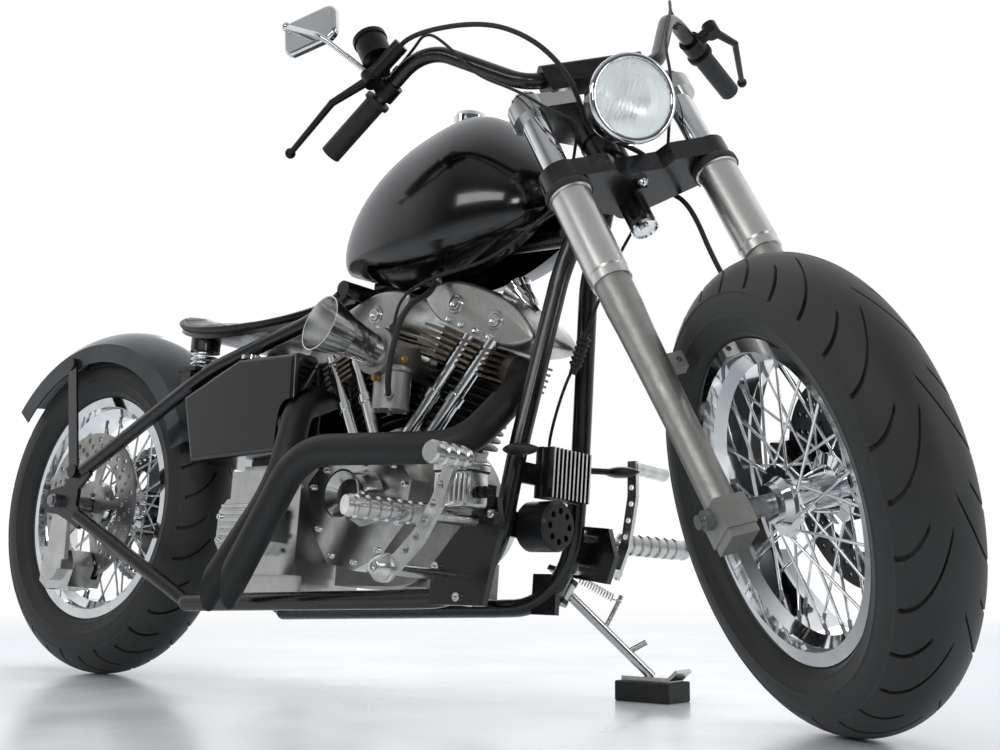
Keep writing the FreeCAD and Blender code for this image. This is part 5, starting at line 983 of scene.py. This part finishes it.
for i, here in enumerate(pins):
    there = pins[(i + 1) % links]
    middle = (here + there) / 2
    turn = Matrix.Rotation(-math.atan2(there.y - here.y, there.x - here.x), 4, "Y")
    spot = BIKE @ Matrix.Translation((middle.x, CHAIN_LINE, middle.y)) @ turn
    spots["outer" if i % 2 else "inner"].append(spot)
chain = joined("drive_chain_links", [copies(kind + "_links", link_parts[kind], spots[kind])
                                     for kind in ("outer", "inner")])
settle(chain, steel, "chassis")
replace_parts(chain, "drive_chain")
print("chain faces:", len(chain.data.polygons))

# %% [markdown]
# ## Wheels
# Each spoke ends in a nipple at the rim. The spokes' pattern is known from the wheel:
# pairs lean forwards and backwards in turn. Socket screws hold the brake discs, and a
# plated valve stem stands on each rim.

# %% Spoke nipples, disc screws and valves
HUB_RADIUS, HUB_SIDE, HUB_STAGGER = 44, 37.5, 1.5
RIM_RADIUS, RIM_SIDE = 185, 9
SPOKE_PAIRS = 20
SPOKE_LEAN = math.radians(38)
DISC_FACE = 64.3
VALVE_ANGLE = 0.35
WHEELS = (("rear", "rear_wheel_set", BIKE, -1), ("front", "front_wheel_set", FRONT_WHEEL, 1))


def spoke_ends():
    """Rows of (rim end, heading to the hub) for all spokes of a wheel."""
    rows = []
    step = 360 / SPOKE_PAIRS
    for i in range(SPOKE_PAIRS):
        for side in (-1, 1):
            lean = 1 if i % 2 else -1
            at_hub = math.radians(step * i + (step / 2 if side > 0 else 0))
            at_rim = at_hub + lean * SPOKE_LEAN
            hub = Vector((HUB_RADIUS * math.cos(at_hub), side * (HUB_SIDE + HUB_STAGGER * lean),
                          HUB_RADIUS * math.sin(at_hub)))
            rim = Vector((RIM_RADIUS * math.cos(at_rim), side * RIM_SIDE,
                          RIM_RADIUS * math.sin(at_rim)))
            rows.append((rim, hub - rim))
    return rows


nipple = [(0, 0), (3.6, 0.5), (3.6, 3.0), (2.9, 4.0), (2.7, 14.5), (2.2, 15.5), (1.4, 15.8)]
stem = [(0, 0), (4, 0.3), (4, 3), (3, 4), (3, 24), (3.8, 25), (3.8, 31), (3, 32), (0, 32)]
way = Vector((math.cos(VALVE_ANGLE), 0, math.sin(VALVE_ANGLE)))
for end, body, place, side in WHEELS:
    pattern = lathe("nipple", nipple, steps=10)
    set_out(end + "_nipples", pattern, place, spoke_ends(), steel, body)
for end, body, place, side in WHEELS:
    rows = [((x, side * DISC_FACE, z), (0, side, 0)) for x, z in ring(22, 5)]
    set_out(end + "_disc_screws", socket_screw(4, 4), place, rows, steel, body)
for end, body, place, side in WHEELS:
    valve = lathe(end + "_valve", stem, steps=14, place=place @ aim(way * RIM_RADIUS, -way))
    settle(valve, chrome, body)
print("nipples:", 2 * len(spoke_ends()), "disc screws: 10, valves: 2")

# %% [markdown]
# ## Screws of the engine
# Every cover is held by a row of socket screws. Their places follow the outlines of the
# covers, a little inside them. Places on a cylinder are worked out from the crankshaft,
# along the cylinder and across it, because both cylinders lean by half the vee.

# %% Engine screws
CRANK_X, CRANK_Z = 840, -20
HALF_VEE = math.radians(22.5)
GEARCASE = [(668, 20), (700, 52), (800, 62), (872, 56), (905, 20), (895, -50), (850, -100),
            (790, -122), (730, -110), (690, -60)]
MIDDLE_X, MIDDLE_Z = 790, -25
PRIMARY_FACE = 147.9
PLATE_FACE = 125.9


def on_cylinder(lean, along, across, y):
    """A point of one cylinder: lean 1 is the front one, -1 the rear one."""
    return (CRANK_X + lean * (along * math.sin(HALF_VEE) + across * math.cos(HALF_VEE)), y,
            CRANK_Z + along * math.cos(HALF_VEE) - across * math.sin(HALF_VEE))


rows = [((MIDDLE_X + (x - MIDDLE_X) * 0.88, -102.2, MIDDLE_Z + (z - MIDDLE_Z) * 0.86), RIGHT)
        for x, z in GEARCASE]
rows += [(on_cylinder(lean, 311, across, -57.9), RIGHT) for lean in (-1, 1)
         for across in (-44, -14, 20, 52)]
rows += [((x, -117.9, z), RIGHT) for x, z in ((590, -62), (589, -28), (469, -34), (470, -74))]
set_out("right_cover_screws", socket_screw(5, 5), BIKE, rows, chrome, "chassis")

spots = [(SHAFT.x + x, SHAFT.y + z) for x, z in ring(80, 6, 100)]
spots += [(872, 28), (890, -22), (868, -66), (720, 72), (700, -70)]
rows = [((x, PRIMARY_FACE, z), LEFT) for x, z in spots]
set_out("left_cover_screws", socket_screw(5, 5), BIKE, rows, chrome, "chassis")

rows = [((x, -PLATE_FACE, z), RIGHT) for x, z in ((1097, -38), (1040, -160), (994, -116))]
rows += [((1084, PLATE_FACE, z), LEFT) for z in (-48, -98)]
set_out("control_plate_screws", socket_screw(7, 6), BIKE, rows, chrome, "chassis")
print("screw groups: 3")

# %% [markdown]
# Four screws hold the handlebar's clamp. Domed caps close the fork tubes, a bright nut
# holds the crown on its stem and another the lamp's bracket, and a rubber band closes
# each fork cover at its lower end.

# %% Fork screws, caps and nuts
FORK_SPREAD = 121
rows = [((73, y, 789.8), UP) for y in (-76, -54, 54, 76)]
set_out("riser_screws", socket_screw(6.5, 6), FORK, rows, chrome, "steering")
cap = lathe("cap", [(20.3, 0), (20.3, 3), (18, 5.5), (8, 7), (7, 9), (0, 9)], steps=40)
rows = [((FORK_OFFSET, y, 744.8), UP) for y in (-FORK_SPREAD, FORK_SPREAD)]
set_out("fork_caps", cap, FORK, rows, chrome, "steering")
set_out("crown_nuts", dome_nut(15, 14), FORK, [((0, 0, 741.8), UP)], chrome, "steering")
set_out("lamp_bracket_nut", dome_nut(9, 12), FORK, [((58, 0, 562.1), DOWN)], chrome, "steering")
band = [(34.1, 0), (35.6, 0.4), (36.2, 1.5), (36.2, 10.5), (35.6, 11.6), (34.1, 12), (34.1, 0)]
rows = [((FORK_OFFSET, y, 549), UP) for y in (-FORK_SPREAD, FORK_SPREAD)]
set_out("cover_bands", lathe("band", band, steps=48), FORK, rows, rubber, "steering")
print("clamp screws: 4, caps and nuts: 4, bands: 2")

# %% [markdown]
# The rocker boxes are castings with full, rounded ends. Their outline starts from the
# six corners of the construction solid. Cutting every corner off again and again turns
# such an outline into a smooth one, and a wide bevel rounds the faces into each other.
# Two threaded plugs with flanges close the rocker shafts on the right.

# %% Rocker boxes
def smoothed(outline, rounds=3, share=0.2):
    """An outline whose corners are cut off again and again."""
    for _ in range(rounds):
        cut = []
        for here, there in zip(outline, outline[1:] + outline[:1]):
            a, b = Vector(here), Vector(there)
            cut += [tuple(a.lerp(b, share)), tuple(a.lerp(b, 1 - share))]
        outline = cut
        share = 0.25
    return outline


def beside_cylinder(lean, corners):
    """(x, z) points for (across, along) corners of a plate on one cylinder."""
    spots = [on_cylinder(lean, along, across, 0) for across, along in corners]
    return [(spot[0], spot[2]) for spot in spots]


BOX_HALF = 58
BOX_CORNERS = [(-134, 336), (-62, 379), (66, 379), (152, 337), (78, 299), (-68, 299)]
FLANGE_CORNERS = [(-64, 298.5), (74, 298.5), (74, 305), (-64, 305)]
boxes = []
rows = []
for lean in (-1, 1):
    outline = beside_cylinder(lean, smoothed(BOX_CORNERS))
    if lean < 0:
        outline.reverse()
    box = slab("rocker_box", outline, -BOX_HALF, BOX_HALF)
    boxes.append(soften(box, 8, segments=4, angle=50))
    boxes.append(slab("rocker_flange", beside_cylinder(lean, FLANGE_CORNERS), -BOX_HALF - 0.5,
                      BOX_HALF + 0.5, soft=1.0))
    rows += [(on_cylinder(lean, 338, across, -58.2), RIGHT) for across in (-42, 52)]
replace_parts(assembled("rocker_castings", boxes, buffed_cast), "rocker_boxes")
plug = [(16, 0), (16, 1.6), (15, 2.6), (11.5, 3), (11, 5.4), (10, 6.2), (6.3, 6.2), (6, 5.9),
        (6, 2), (0, 1.6)]
plug_pattern = hexed(lathe("plug", plug, steps=36), 6)
set_out("rocker_shaft_plugs", plug_pattern, BIKE, rows, polished, "chassis")
print("rocker boxes: 2, plugs: 4")

# %% [markdown]
# ## Cables and hoses
# A cable lies in a smooth curve. Its route is a short row of control points, and a
# quadratic NURBS line touches each leg of that row, so no kink is left. The first rows
# are given in the turned fork's own frame, and the others in the upright bike's.

# %% Routes of the cords
THROTTLE_FORK = [(-39.3, -267.6, 928.8), (1.3, -231.5, 937.2), (48, -214, 935), (72, -200, 868),
                 (56, -175, 819), (104, -142, 728), (108, -112, 676), (102, -75, 655),
                 (50, -76, 640), (-14, -86, 612)]
THROTTLE_BIKE = [(1130, -80, 425), (1040, -98, 358), (930, -104, 345), (868, -112, 322),
                 (848, -112, 285), (848, -112, 246)]
CLUTCH_FORK = [(-39.3, 267.6, 928.8), (1.3, 231.5, 937.2), (48, 214, 935), (84, 178, 868),
               (108, 120, 780), (112, 98, 700), (56, 80, 640), (-14, 84, 612)]
CLUTCH_BIKE = [(1185, 40, 400), (1160, 8, 290), (1142, 0, 220), (1113, 0, 166), (1078, 14, 84),
               (1030, 86, 66), (960, 124, 74), (894, 124, 34)]
BRAKE_HOSE = [(25.9, -252.8, 932.9), (42.7, -235, 938.3), (136, -165, 850), (166, -120, 777),
              (146, -80, 723), (87, -50, 697), (50, -38, 682), (44, 5, 650), (14, 60, 632),
              (-20, 76, 592), (-2, 92, 545), (-32, 98, 440), (-38, 112, 300), (-40, 128, 190),
              (-46, 124, 116), (-50, 95.2, 112)]
FUEL_HOSE = [(900, -72, 370), (900, -73, 328), (908, -150, 290), (906, -172, 200),
             (893.4, -159, 150), (872, -132.2, 150)]
print("points of the routes:", [len(route) for route in (
    THROTTLE_FORK, THROTTLE_BIKE, CLUTCH_FORK, CLUTCH_BIKE, BRAKE_HOSE, FUEL_HOSE)])

# %% [markdown]
# A round bevel gives the line its thickness, and it is then made into a mesh. The two
# cables run from the turning fork to the engine, and they are settled on neither body. The
# brake hose stays on the fork, and the fuel hose on the bike.

# %% Cables and hoses
CABLE_RADIUS = 2.5


def cord_line(name, points, radius, material, body=None):
    """A round cord along a smooth NURBS line, made into a mesh."""
    bpy.ops.object.select_all(action="DESELECT")
    bpy.ops.curve.primitive_nurbs_path_add()
    cord = bpy.context.object
    cord.name = name
    cord.data.name = name
    cord.data.splines.clear()
    spline = cord.data.splines.new("NURBS")
    spline.points.add(len(points) - 1)
    for point, spot in zip(spline.points, points):
        point.co = (*spot, 1)
    spline.order_u = 3
    spline.use_endpoint_u = True
    spline.resolution_u = 8
    cord.data.bevel_depth = radius / 1000
    cord.data.bevel_resolution = 3
    cord.data.use_fill_caps = True
    cord.location = (0, 0, 0)
    bpy.ops.object.convert(target="MESH")
    bpy.ops.object.shade_smooth_by_angle(angle=math.radians(50))
    if body:
        return settle(cord, material, body)
    cord.data.materials.clear()
    cord.data.materials.append(material)
    return cord


for name, fork_part, bike_part in (("throttle_cable", THROTTLE_FORK, THROTTLE_BIKE),
                                   ("clutch_cable", CLUTCH_FORK, CLUTCH_BIKE)):
    before = [FORK @ Vector(p) for p in fork_part]
    after = [BIKE @ Vector(p) for p in bike_part]
    cable = cord_line(name + "_line", before + after, CABLE_RADIUS, rubber)
    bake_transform(cable)
    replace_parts(cable, name)
for name, frame_matrix, points, radius, body in (
        ("front_brake_hose", FORK, BRAKE_HOSE, 4, "steering"),
        ("fuel_hose", BIKE, FUEL_HOSE, 5, "chassis")):
    route = [frame_matrix @ Vector(p) for p in points]
    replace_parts(cord_line(name + "_line", route, radius, rubber, body), name)
print("cables: 2, hoses: 2")

# %% [markdown]
# Each cable starts in a plated adjuster at its lever. Two clips hold the fuel hose on its
# stubs, and a ribbed rubber boot covers the clutch cable's joint beside the frame.

# %% Adjusters, clips and boot
ferrule = [(2.4, -1), (4.6, -1), (4.6, 6), (3.9, 7), (3.9, 12), (4.9, 13), (4.9, 22), (4.2, 23.5),
           (2.4, 24), (2.4, -1)]
rows = [(route[0], Vector(route[1]) - Vector(route[0])) for route in (THROTTLE_FORK, CLUTCH_FORK)]
set_out("cable_adjusters", lathe("ferrule", ferrule, steps=20), FORK, rows, steel, "steering")
clip = [(5, 0), (7.2, 0.5), (7.6, 2), (7.6, 7), (7.2, 8.5), (5, 9), (5, 0)]
rows = [((900, -72.6, 352), DOWN), ((885, -147.6, 150), (-0.62, 0.78, 0))]
set_out("hose_clips", lathe("clip", clip, steps=24), BIKE, rows, steel, "chassis")
bellows = [(2.6, -34), (6, -34), (6, -27)]
for low in range(-24, 24, 8):
    bellows += [(10.5, low), (10.5, low + 2.5), (7.5, low + 5.5), (7.5, low + 6.5)]
bellows += [(6, 25), (6, 34), (2.6, 34)]
boot_place = BIKE @ aim((1141, 1, 222), (-0.30, -0.05, -0.95))
settle(lathe("cable_boot", bellows, steps=32, place=boot_place), rubber, "chassis")
print("adjusters: 2, clips: 2, boots: 1")

# %% [markdown]
# ## Saddle
# The saddle is covered with thick leather, which years of oil turned nearly black.
# Its creases and pores are too small to model, so the recipe raises them as a grain, and
# the leather is a little paler where its edges are rubbed.

# %% Leather
# Vegetable-tanned leather, oiled and dark: soft gloss, small creases and pores.
leather = finish("oiled_black_leather", "#14110f", "#211c19", cloud=22, rough=(0.34, 0.50),
                 grain=1.8, relief=0.30, coat=0.05, sheen=0.08, edge="#2c2521")
print("leather ready")

# %% [markdown]
# The cushion keeps the outline of its construction solid. Its mesh is made even, then
# air pressure swells the leather over the foam as a cloth simulation does it. No point
# may move by more than 6 mm, so the saddle stays thin. The underside, which rests on
# the pan, is held still.

# %% Saddle cushion
VOXEL = 0.005
PRESSURE = 4
MOMENTS = 20
SWELL_LIMIT = 0.006


def saddle_cushion():
    """The leather cushion, evenly meshed and swollen by air pressure."""
    shape = nodes["seat"].data.copy()
    shape.transform(nodes["seat"].matrix_world)
    seat = bpy.data.objects.new("saddle_cushion", shape)
    bpy.context.scene.collection.objects.link(seat)
    pick(seat)
    grid = seat.modifiers.new("even_mesh", "REMESH")
    grid.mode = "VOXEL"
    grid.voxel_size = VOXEL
    bpy.ops.object.modifier_apply(modifier="even_mesh")
    relax = seat.modifiers.new("relaxed", "SMOOTH")
    relax.iterations = 4
    bpy.ops.object.modifier_apply(modifier="relaxed")
    count = len(seat.data.vertices)
    before = np.zeros(count * 3)
    seat.data.vertices.foreach_get("co", before)
    before = before.reshape(-1, 3)
    held = seat.vertex_groups.new(name="held")
    held.add([v.index for v in seat.data.vertices if v.normal.z < -0.2], 1.0, "REPLACE")
    stuffing = seat.modifiers.new("stuffing", "CLOTH")
    stuffing.settings.use_pressure = True
    stuffing.settings.uniform_pressure_force = PRESSURE
    stuffing.settings.effector_weights.gravity = 0
    stuffing.settings.vertex_group_mass = "held"
    stuffing.point_cache.frame_start = 1
    stuffing.point_cache.frame_end = MOMENTS
    for moment in range(1, MOMENTS + 1):
        bpy.context.scene.frame_set(moment)
    bpy.ops.object.modifier_apply(modifier="stuffing")
    after = np.zeros(count * 3)
    seat.data.vertices.foreach_get("co", after)
    move = after.reshape(-1, 3) - before
    reach = np.linalg.norm(move, axis=1, keepdims=True)
    move *= np.minimum(1, SWELL_LIMIT / np.maximum(reach, 1e-9))
    seat.data.vertices.foreach_set("co", (before + move).ravel())
    bpy.context.scene.frame_set(1)
    print("leather moved by", round(float(np.minimum(reach, SWELL_LIMIT).max()) * 1000, 1),
          "mm at most")
    finer = seat.modifiers.new("finer", "SUBSURF")
    finer.levels = 1
    bpy.ops.object.modifier_apply(modifier="finer")
    bpy.ops.object.shade_smooth()
    return seat


cushion = saddle_cushion()
settle(cushion, leather, "chassis")
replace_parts(cushion, "seat")
print("cushion faces:", len(cushion.data.polygons))

# %% [markdown]
# A welt is a thin leather cord in the seam between the top and the base. The stitches
# run just inside it. Each one starts above the saddle and is dropped straight down onto
# the leather by a ray, so all of them lie on the swollen surface.

# %% Welt and stitches
# Distance from the rear axle, height and half width of the saddle's rim.
SADDLE = [(246, 346, 52), (262, 337, 92), (300, 322, 118), (350, 309, 131), (405, 303, 134),
          (470, 304, 122), (530, 314, 96), (590, 331, 66), (640, 350, 48), (668, 359, 34)]


def rim_line(share, rise):
    """Points round the saddle at a share of its half width, in the bike's coordinates."""
    left = [(x, half * share, centre + rise) for x, centre, half in SADDLE]
    right = [(x, -y, z) for x, y, z in reversed(left)]
    return left + right


def evenly(points, step):
    """Points at an even distance along a closed row of points."""
    closed = [Vector(p) for p in points] + [Vector(points[0])]
    return laid_out(closed, round(run_length(closed) / step))


rim = [BIKE @ Vector(p) for p in rim_line(0.985, 0)]
cord_line("saddle_welt", rim + rim[:1], 2.2, leather, "chassis")
# Waxed linen thread, twisted and a little dusty: a dull pale line on the dark leather.
thread = finish("waxed_linen_thread", "#6d665c", "#57514a", cloud=5, rough=(0.5, 0.6), grain=0.5,
                relief=0.05)
STITCH_PITCH = 6.5
stitch = [(0, -2.3), (0.5, -2.1), (0.7, -1.4), (0.7, 1.4), (0.5, 2.1), (0, 2.3)]
spots = []
row = evenly(rim_line(0.86, 60), STITCH_PITCH)
to_bike = BIKE.inverted()
down = (BIKE.to_3x3() @ Vector((0, 0, -1))).normalized()
for here, there in zip(row, row[1:] + row[:1]):
    hit, spot, _, _ = cushion.ray_cast(BIKE @ here, down)
    if hit:
        spots.append(BIKE @ aim(to_bike @ spot, there - here))
stitches = copies("saddle_stitches", lathe("stitch", stitch, steps=8), spots)
settle(stitches, thread, "chassis")
print("stitches:", len(spots))

# %% [markdown]
# ## Stand spring
# The stand is held by a tension spring between its pivot bolt and a pin on the leg. The
# spring is a helix whose ends close round bolt and pin. Its points are worked out in the
# plane in which the stand swings, and the round wire follows them.

# %% Stand spring
PIN_ALONG_LEG = 92
SPRING_ASIDE = 28
COIL_RADIUS = 6.6
COIL_TURNS = 13
swing = hinges["side_stand_swing"]
pivot = to_bike @ Vector(swing["pos_m"])
across = (LEAN.to_3x3().inverted() @ Vector(swing["axis"])).normalized()
leg = Vector((98, 116, -128)).normalized()
pull = leg - across * leg.dot(across)
reach = PIN_ALONG_LEG * pull.length
pull.normalize()
side = across.cross(pull)
base = pivot + across * SPRING_ASIDE


def loop_round(centre, radius, start, way):
    """Five points, an eighth of a turn apart, of the loop at one end of the spring."""
    angles = [math.radians(start + 45 * i) for i in range(5)]
    return [centre + pull * (radius * math.cos(angle)) + side * (way * radius * math.sin(angle))
            for angle in angles]


points = loop_round(base, 7.8, 150, 1)
first, last = 14, reach - 11
for i in range(COIL_TURNS * 8 + 1):
    angle = math.radians(45 * i)
    along = first + (last - first) * i / (COIL_TURNS * 8)
    points.append(base + pull * along + side * (COIL_RADIUS * math.cos(angle))
                  + across * (COIL_RADIUS * math.sin(angle)))
points += loop_round(base + pull * reach, 5.9, 30, -1)
cord_line("stand_spring_wire", [BIKE @ p for p in points], 1.5, chrome, "stand")
print("spring points:", len(points))

# %% [markdown]
# ## Brake cylinder
# The rear brake's cylinder sits in a rounded block with ribs on its outer side. It has a
# screwed lid, a dark gasket, a stay to the plate behind it and a fitting for its pipe. The
# pedal beside it turns on a bolt under a smooth cone.

# %% Brake cylinder block
def box_outline(left, right, low, high):
    """The four corners of an upright rectangle in the (x, z) plane."""
    return [(left, low), (right, low), (right, high), (left, high)]


shell = [(1042, -30), (1048, -36), (1108, -36), (1112, -31), (1112, 15), (1042, 15)]
parts = [slab("block", shell, -196, -156, soft=1.5)]
for i in range(7):
    x = 1049 + 9.2 * i
    parts.append(slab("rib", box_outline(x, x + 4.6, -30, 11), -201.5, -195, soft=0.8))
lid = [(1040, 17.4), (1114, 17.4), (1114, 26), (1110, 30), (1044, 30), (1040, 26)]
parts.append(slab("lid", lid, -198, -154, soft=1.2))
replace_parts(assembled("brake_cylinder_block", parts, billet), "rear_master_cylinder")
settle(slab("lid_gasket", box_outline(1041, 1113, 14.8, 17.6), -197, -155, place=BIKE), rubber,
       "chassis")
settle(slab("cylinder_stay", box_outline(1084, 1102, -30, 2), -157, -126.1, place=BIKE),
       frame_black, "chassis")
rows = [((x, y, 29.9), UP) for x in (1049, 1105) for y in (-190, -162)]
set_out("lid_screws", socket_screw(3.2, 3), BIKE, rows, steel, "chassis")
fitting = [(0, 0), (9, 0), (9, 3), (6.5, 3.5), (6.5, 9), (9, 9.5), (9, 15), (5, 16), (5, 30),
           (0, 30)]
settle(lathe("pipe_fitting", fitting, steps=24, place=BIKE @ aim((1111, -176, -14), FORWARDS)),
       anodised, "chassis")
cone = [(16.1, -17), (20.5, -16), (21, -14), (21, -10), (19.6, -9), (19.6, -7.5), (21, -6.5),
        (21, -2), (19.5, 0), (11, 13), (9, 14), (5.2, 14), (4.6, 13), (4.6, 9), (0, 9)]
settle(lathe("pedal_pivot_cone", cone, steps=56, place=BIKE @ aim((1000, -252, -128), RIGHT)),
       billet, "chassis")
print("brake cylinder pieces: 6")

# %% [markdown]
# ## Regulator
# The voltage regulator is a black block whose upright fins have bare metal edges. The
# edges are thin strips of their own, because a bright edge is a matter of a millimetre.

# %% Regulator
FINS, FIN_PITCH, FIN_START = 10, 9.74, -45.8
parts = [slab("bracket", box_outline(1096, 1106, 14, 46), -76, 76, soft=1.2),
         slab("housing", box_outline(1106, 1120, -6, 72), -46, 46, soft=1.2)]
for i in range(FINS):
    low = FIN_START + FIN_PITCH * i
    parts.append(slab("fin", box_outline(1119, 1141, -5, 71), low, low + 4, soft=0.5))
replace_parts(assembled("finned_regulator", parts, frame_black), "regulator")
edges = []
for i in range(FINS):
    low = FIN_START + 0.4 + FIN_PITCH * i
    edges.append(slab("edge", box_outline(1140.6, 1141.6, -4.4, 70.4), low, low + 3.2))
assembled("regulator_fin_edges", edges, billet)
print("fins:", FINS)

# %% [markdown]
# ## Small pieces
# The stem of the fork ends in a bright dish under the lower crown. The carburettor gets
# the flange and screws of its bowl, three brass unions and the lever that its cable turns.

# %% Stem dish and carburettor details
BOWL_X, BOWL_Y = 856, -112
dish = [(0, 0), (20, 0), (21.5, 2), (21.5, 7), (19.5, 8), (17, 5), (8, 2.6), (7, 3), (7, 7),
        (0, 7.6)]
settle(lathe("stem_dish", dish, steps=48, place=FORK @ aim((0, 0, 518), DOWN)), chrome, "steering")

rows = [((BOWL_X + x, BOWL_Y + y, 130.2), DOWN) for x, y in ring(24, 4, 45)]
set_out("bowl_screws", socket_screw(4, 4), BIKE, rows, steel, "chassis")
flange = [(30.2, 0), (34, 0.6), (34.6, 2), (34.6, 6), (34, 7.4), (30.2, 8), (30.2, 0)]
settle(lathe("bowl_flange", flange, steps=48, place=BIKE @ aim((BOWL_X, BOWL_Y, 190), UP)), cast,
       "chassis")
# Yellow brass of the carburettor's unions and jets, slightly tarnished.
brass = finish("tarnished_brass", "#b08a45", "#8a6a34", cloud=8, rough=(0.25, 0.4), metallic=1.0,
               grain=0.8, relief=0.03)
union = [(0, 0), (5.5, 0), (5.5, 5), (4, 5.5), (4, 9), (5, 9.5), (5, 13), (3, 13.5), (0, 13.5)]
rows = [((BOWL_X, -141.8, 176), RIGHT), ((884, -120, 208), (0.8, -0.6, 0)),
        ((832, -138, 200), (-0.5, -0.86, 0))]
union_pattern = hexed(lathe("union", union, steps=24), 5.5)
set_out("brass_unions", union_pattern, BIKE, rows, brass, "chassis")
lever = [(-7, -7), (6, -8), (34, -3), (37, 3), (33, 8), (6, 8), (-5, 7)]
arm = slab("throttle_lever", lever, 0, 3, soft=0.6)
arm.data.transform(BIKE @ Matrix.Translation((858, -146, 232)) @ Matrix.Rotation(0.5, 4, "Y"))
settle(arm, steel, "chassis")
print("small pieces: 5")

# %% [markdown]
# ## The end
# The box of the construction model and that of the dressed machine are printed side by
# side.

# %% Finish the scene
boxes = {"cad": [list(corner) for corner in cad_box],
         "visual": [list(corner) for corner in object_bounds()]}
print("boxes:", boxes)
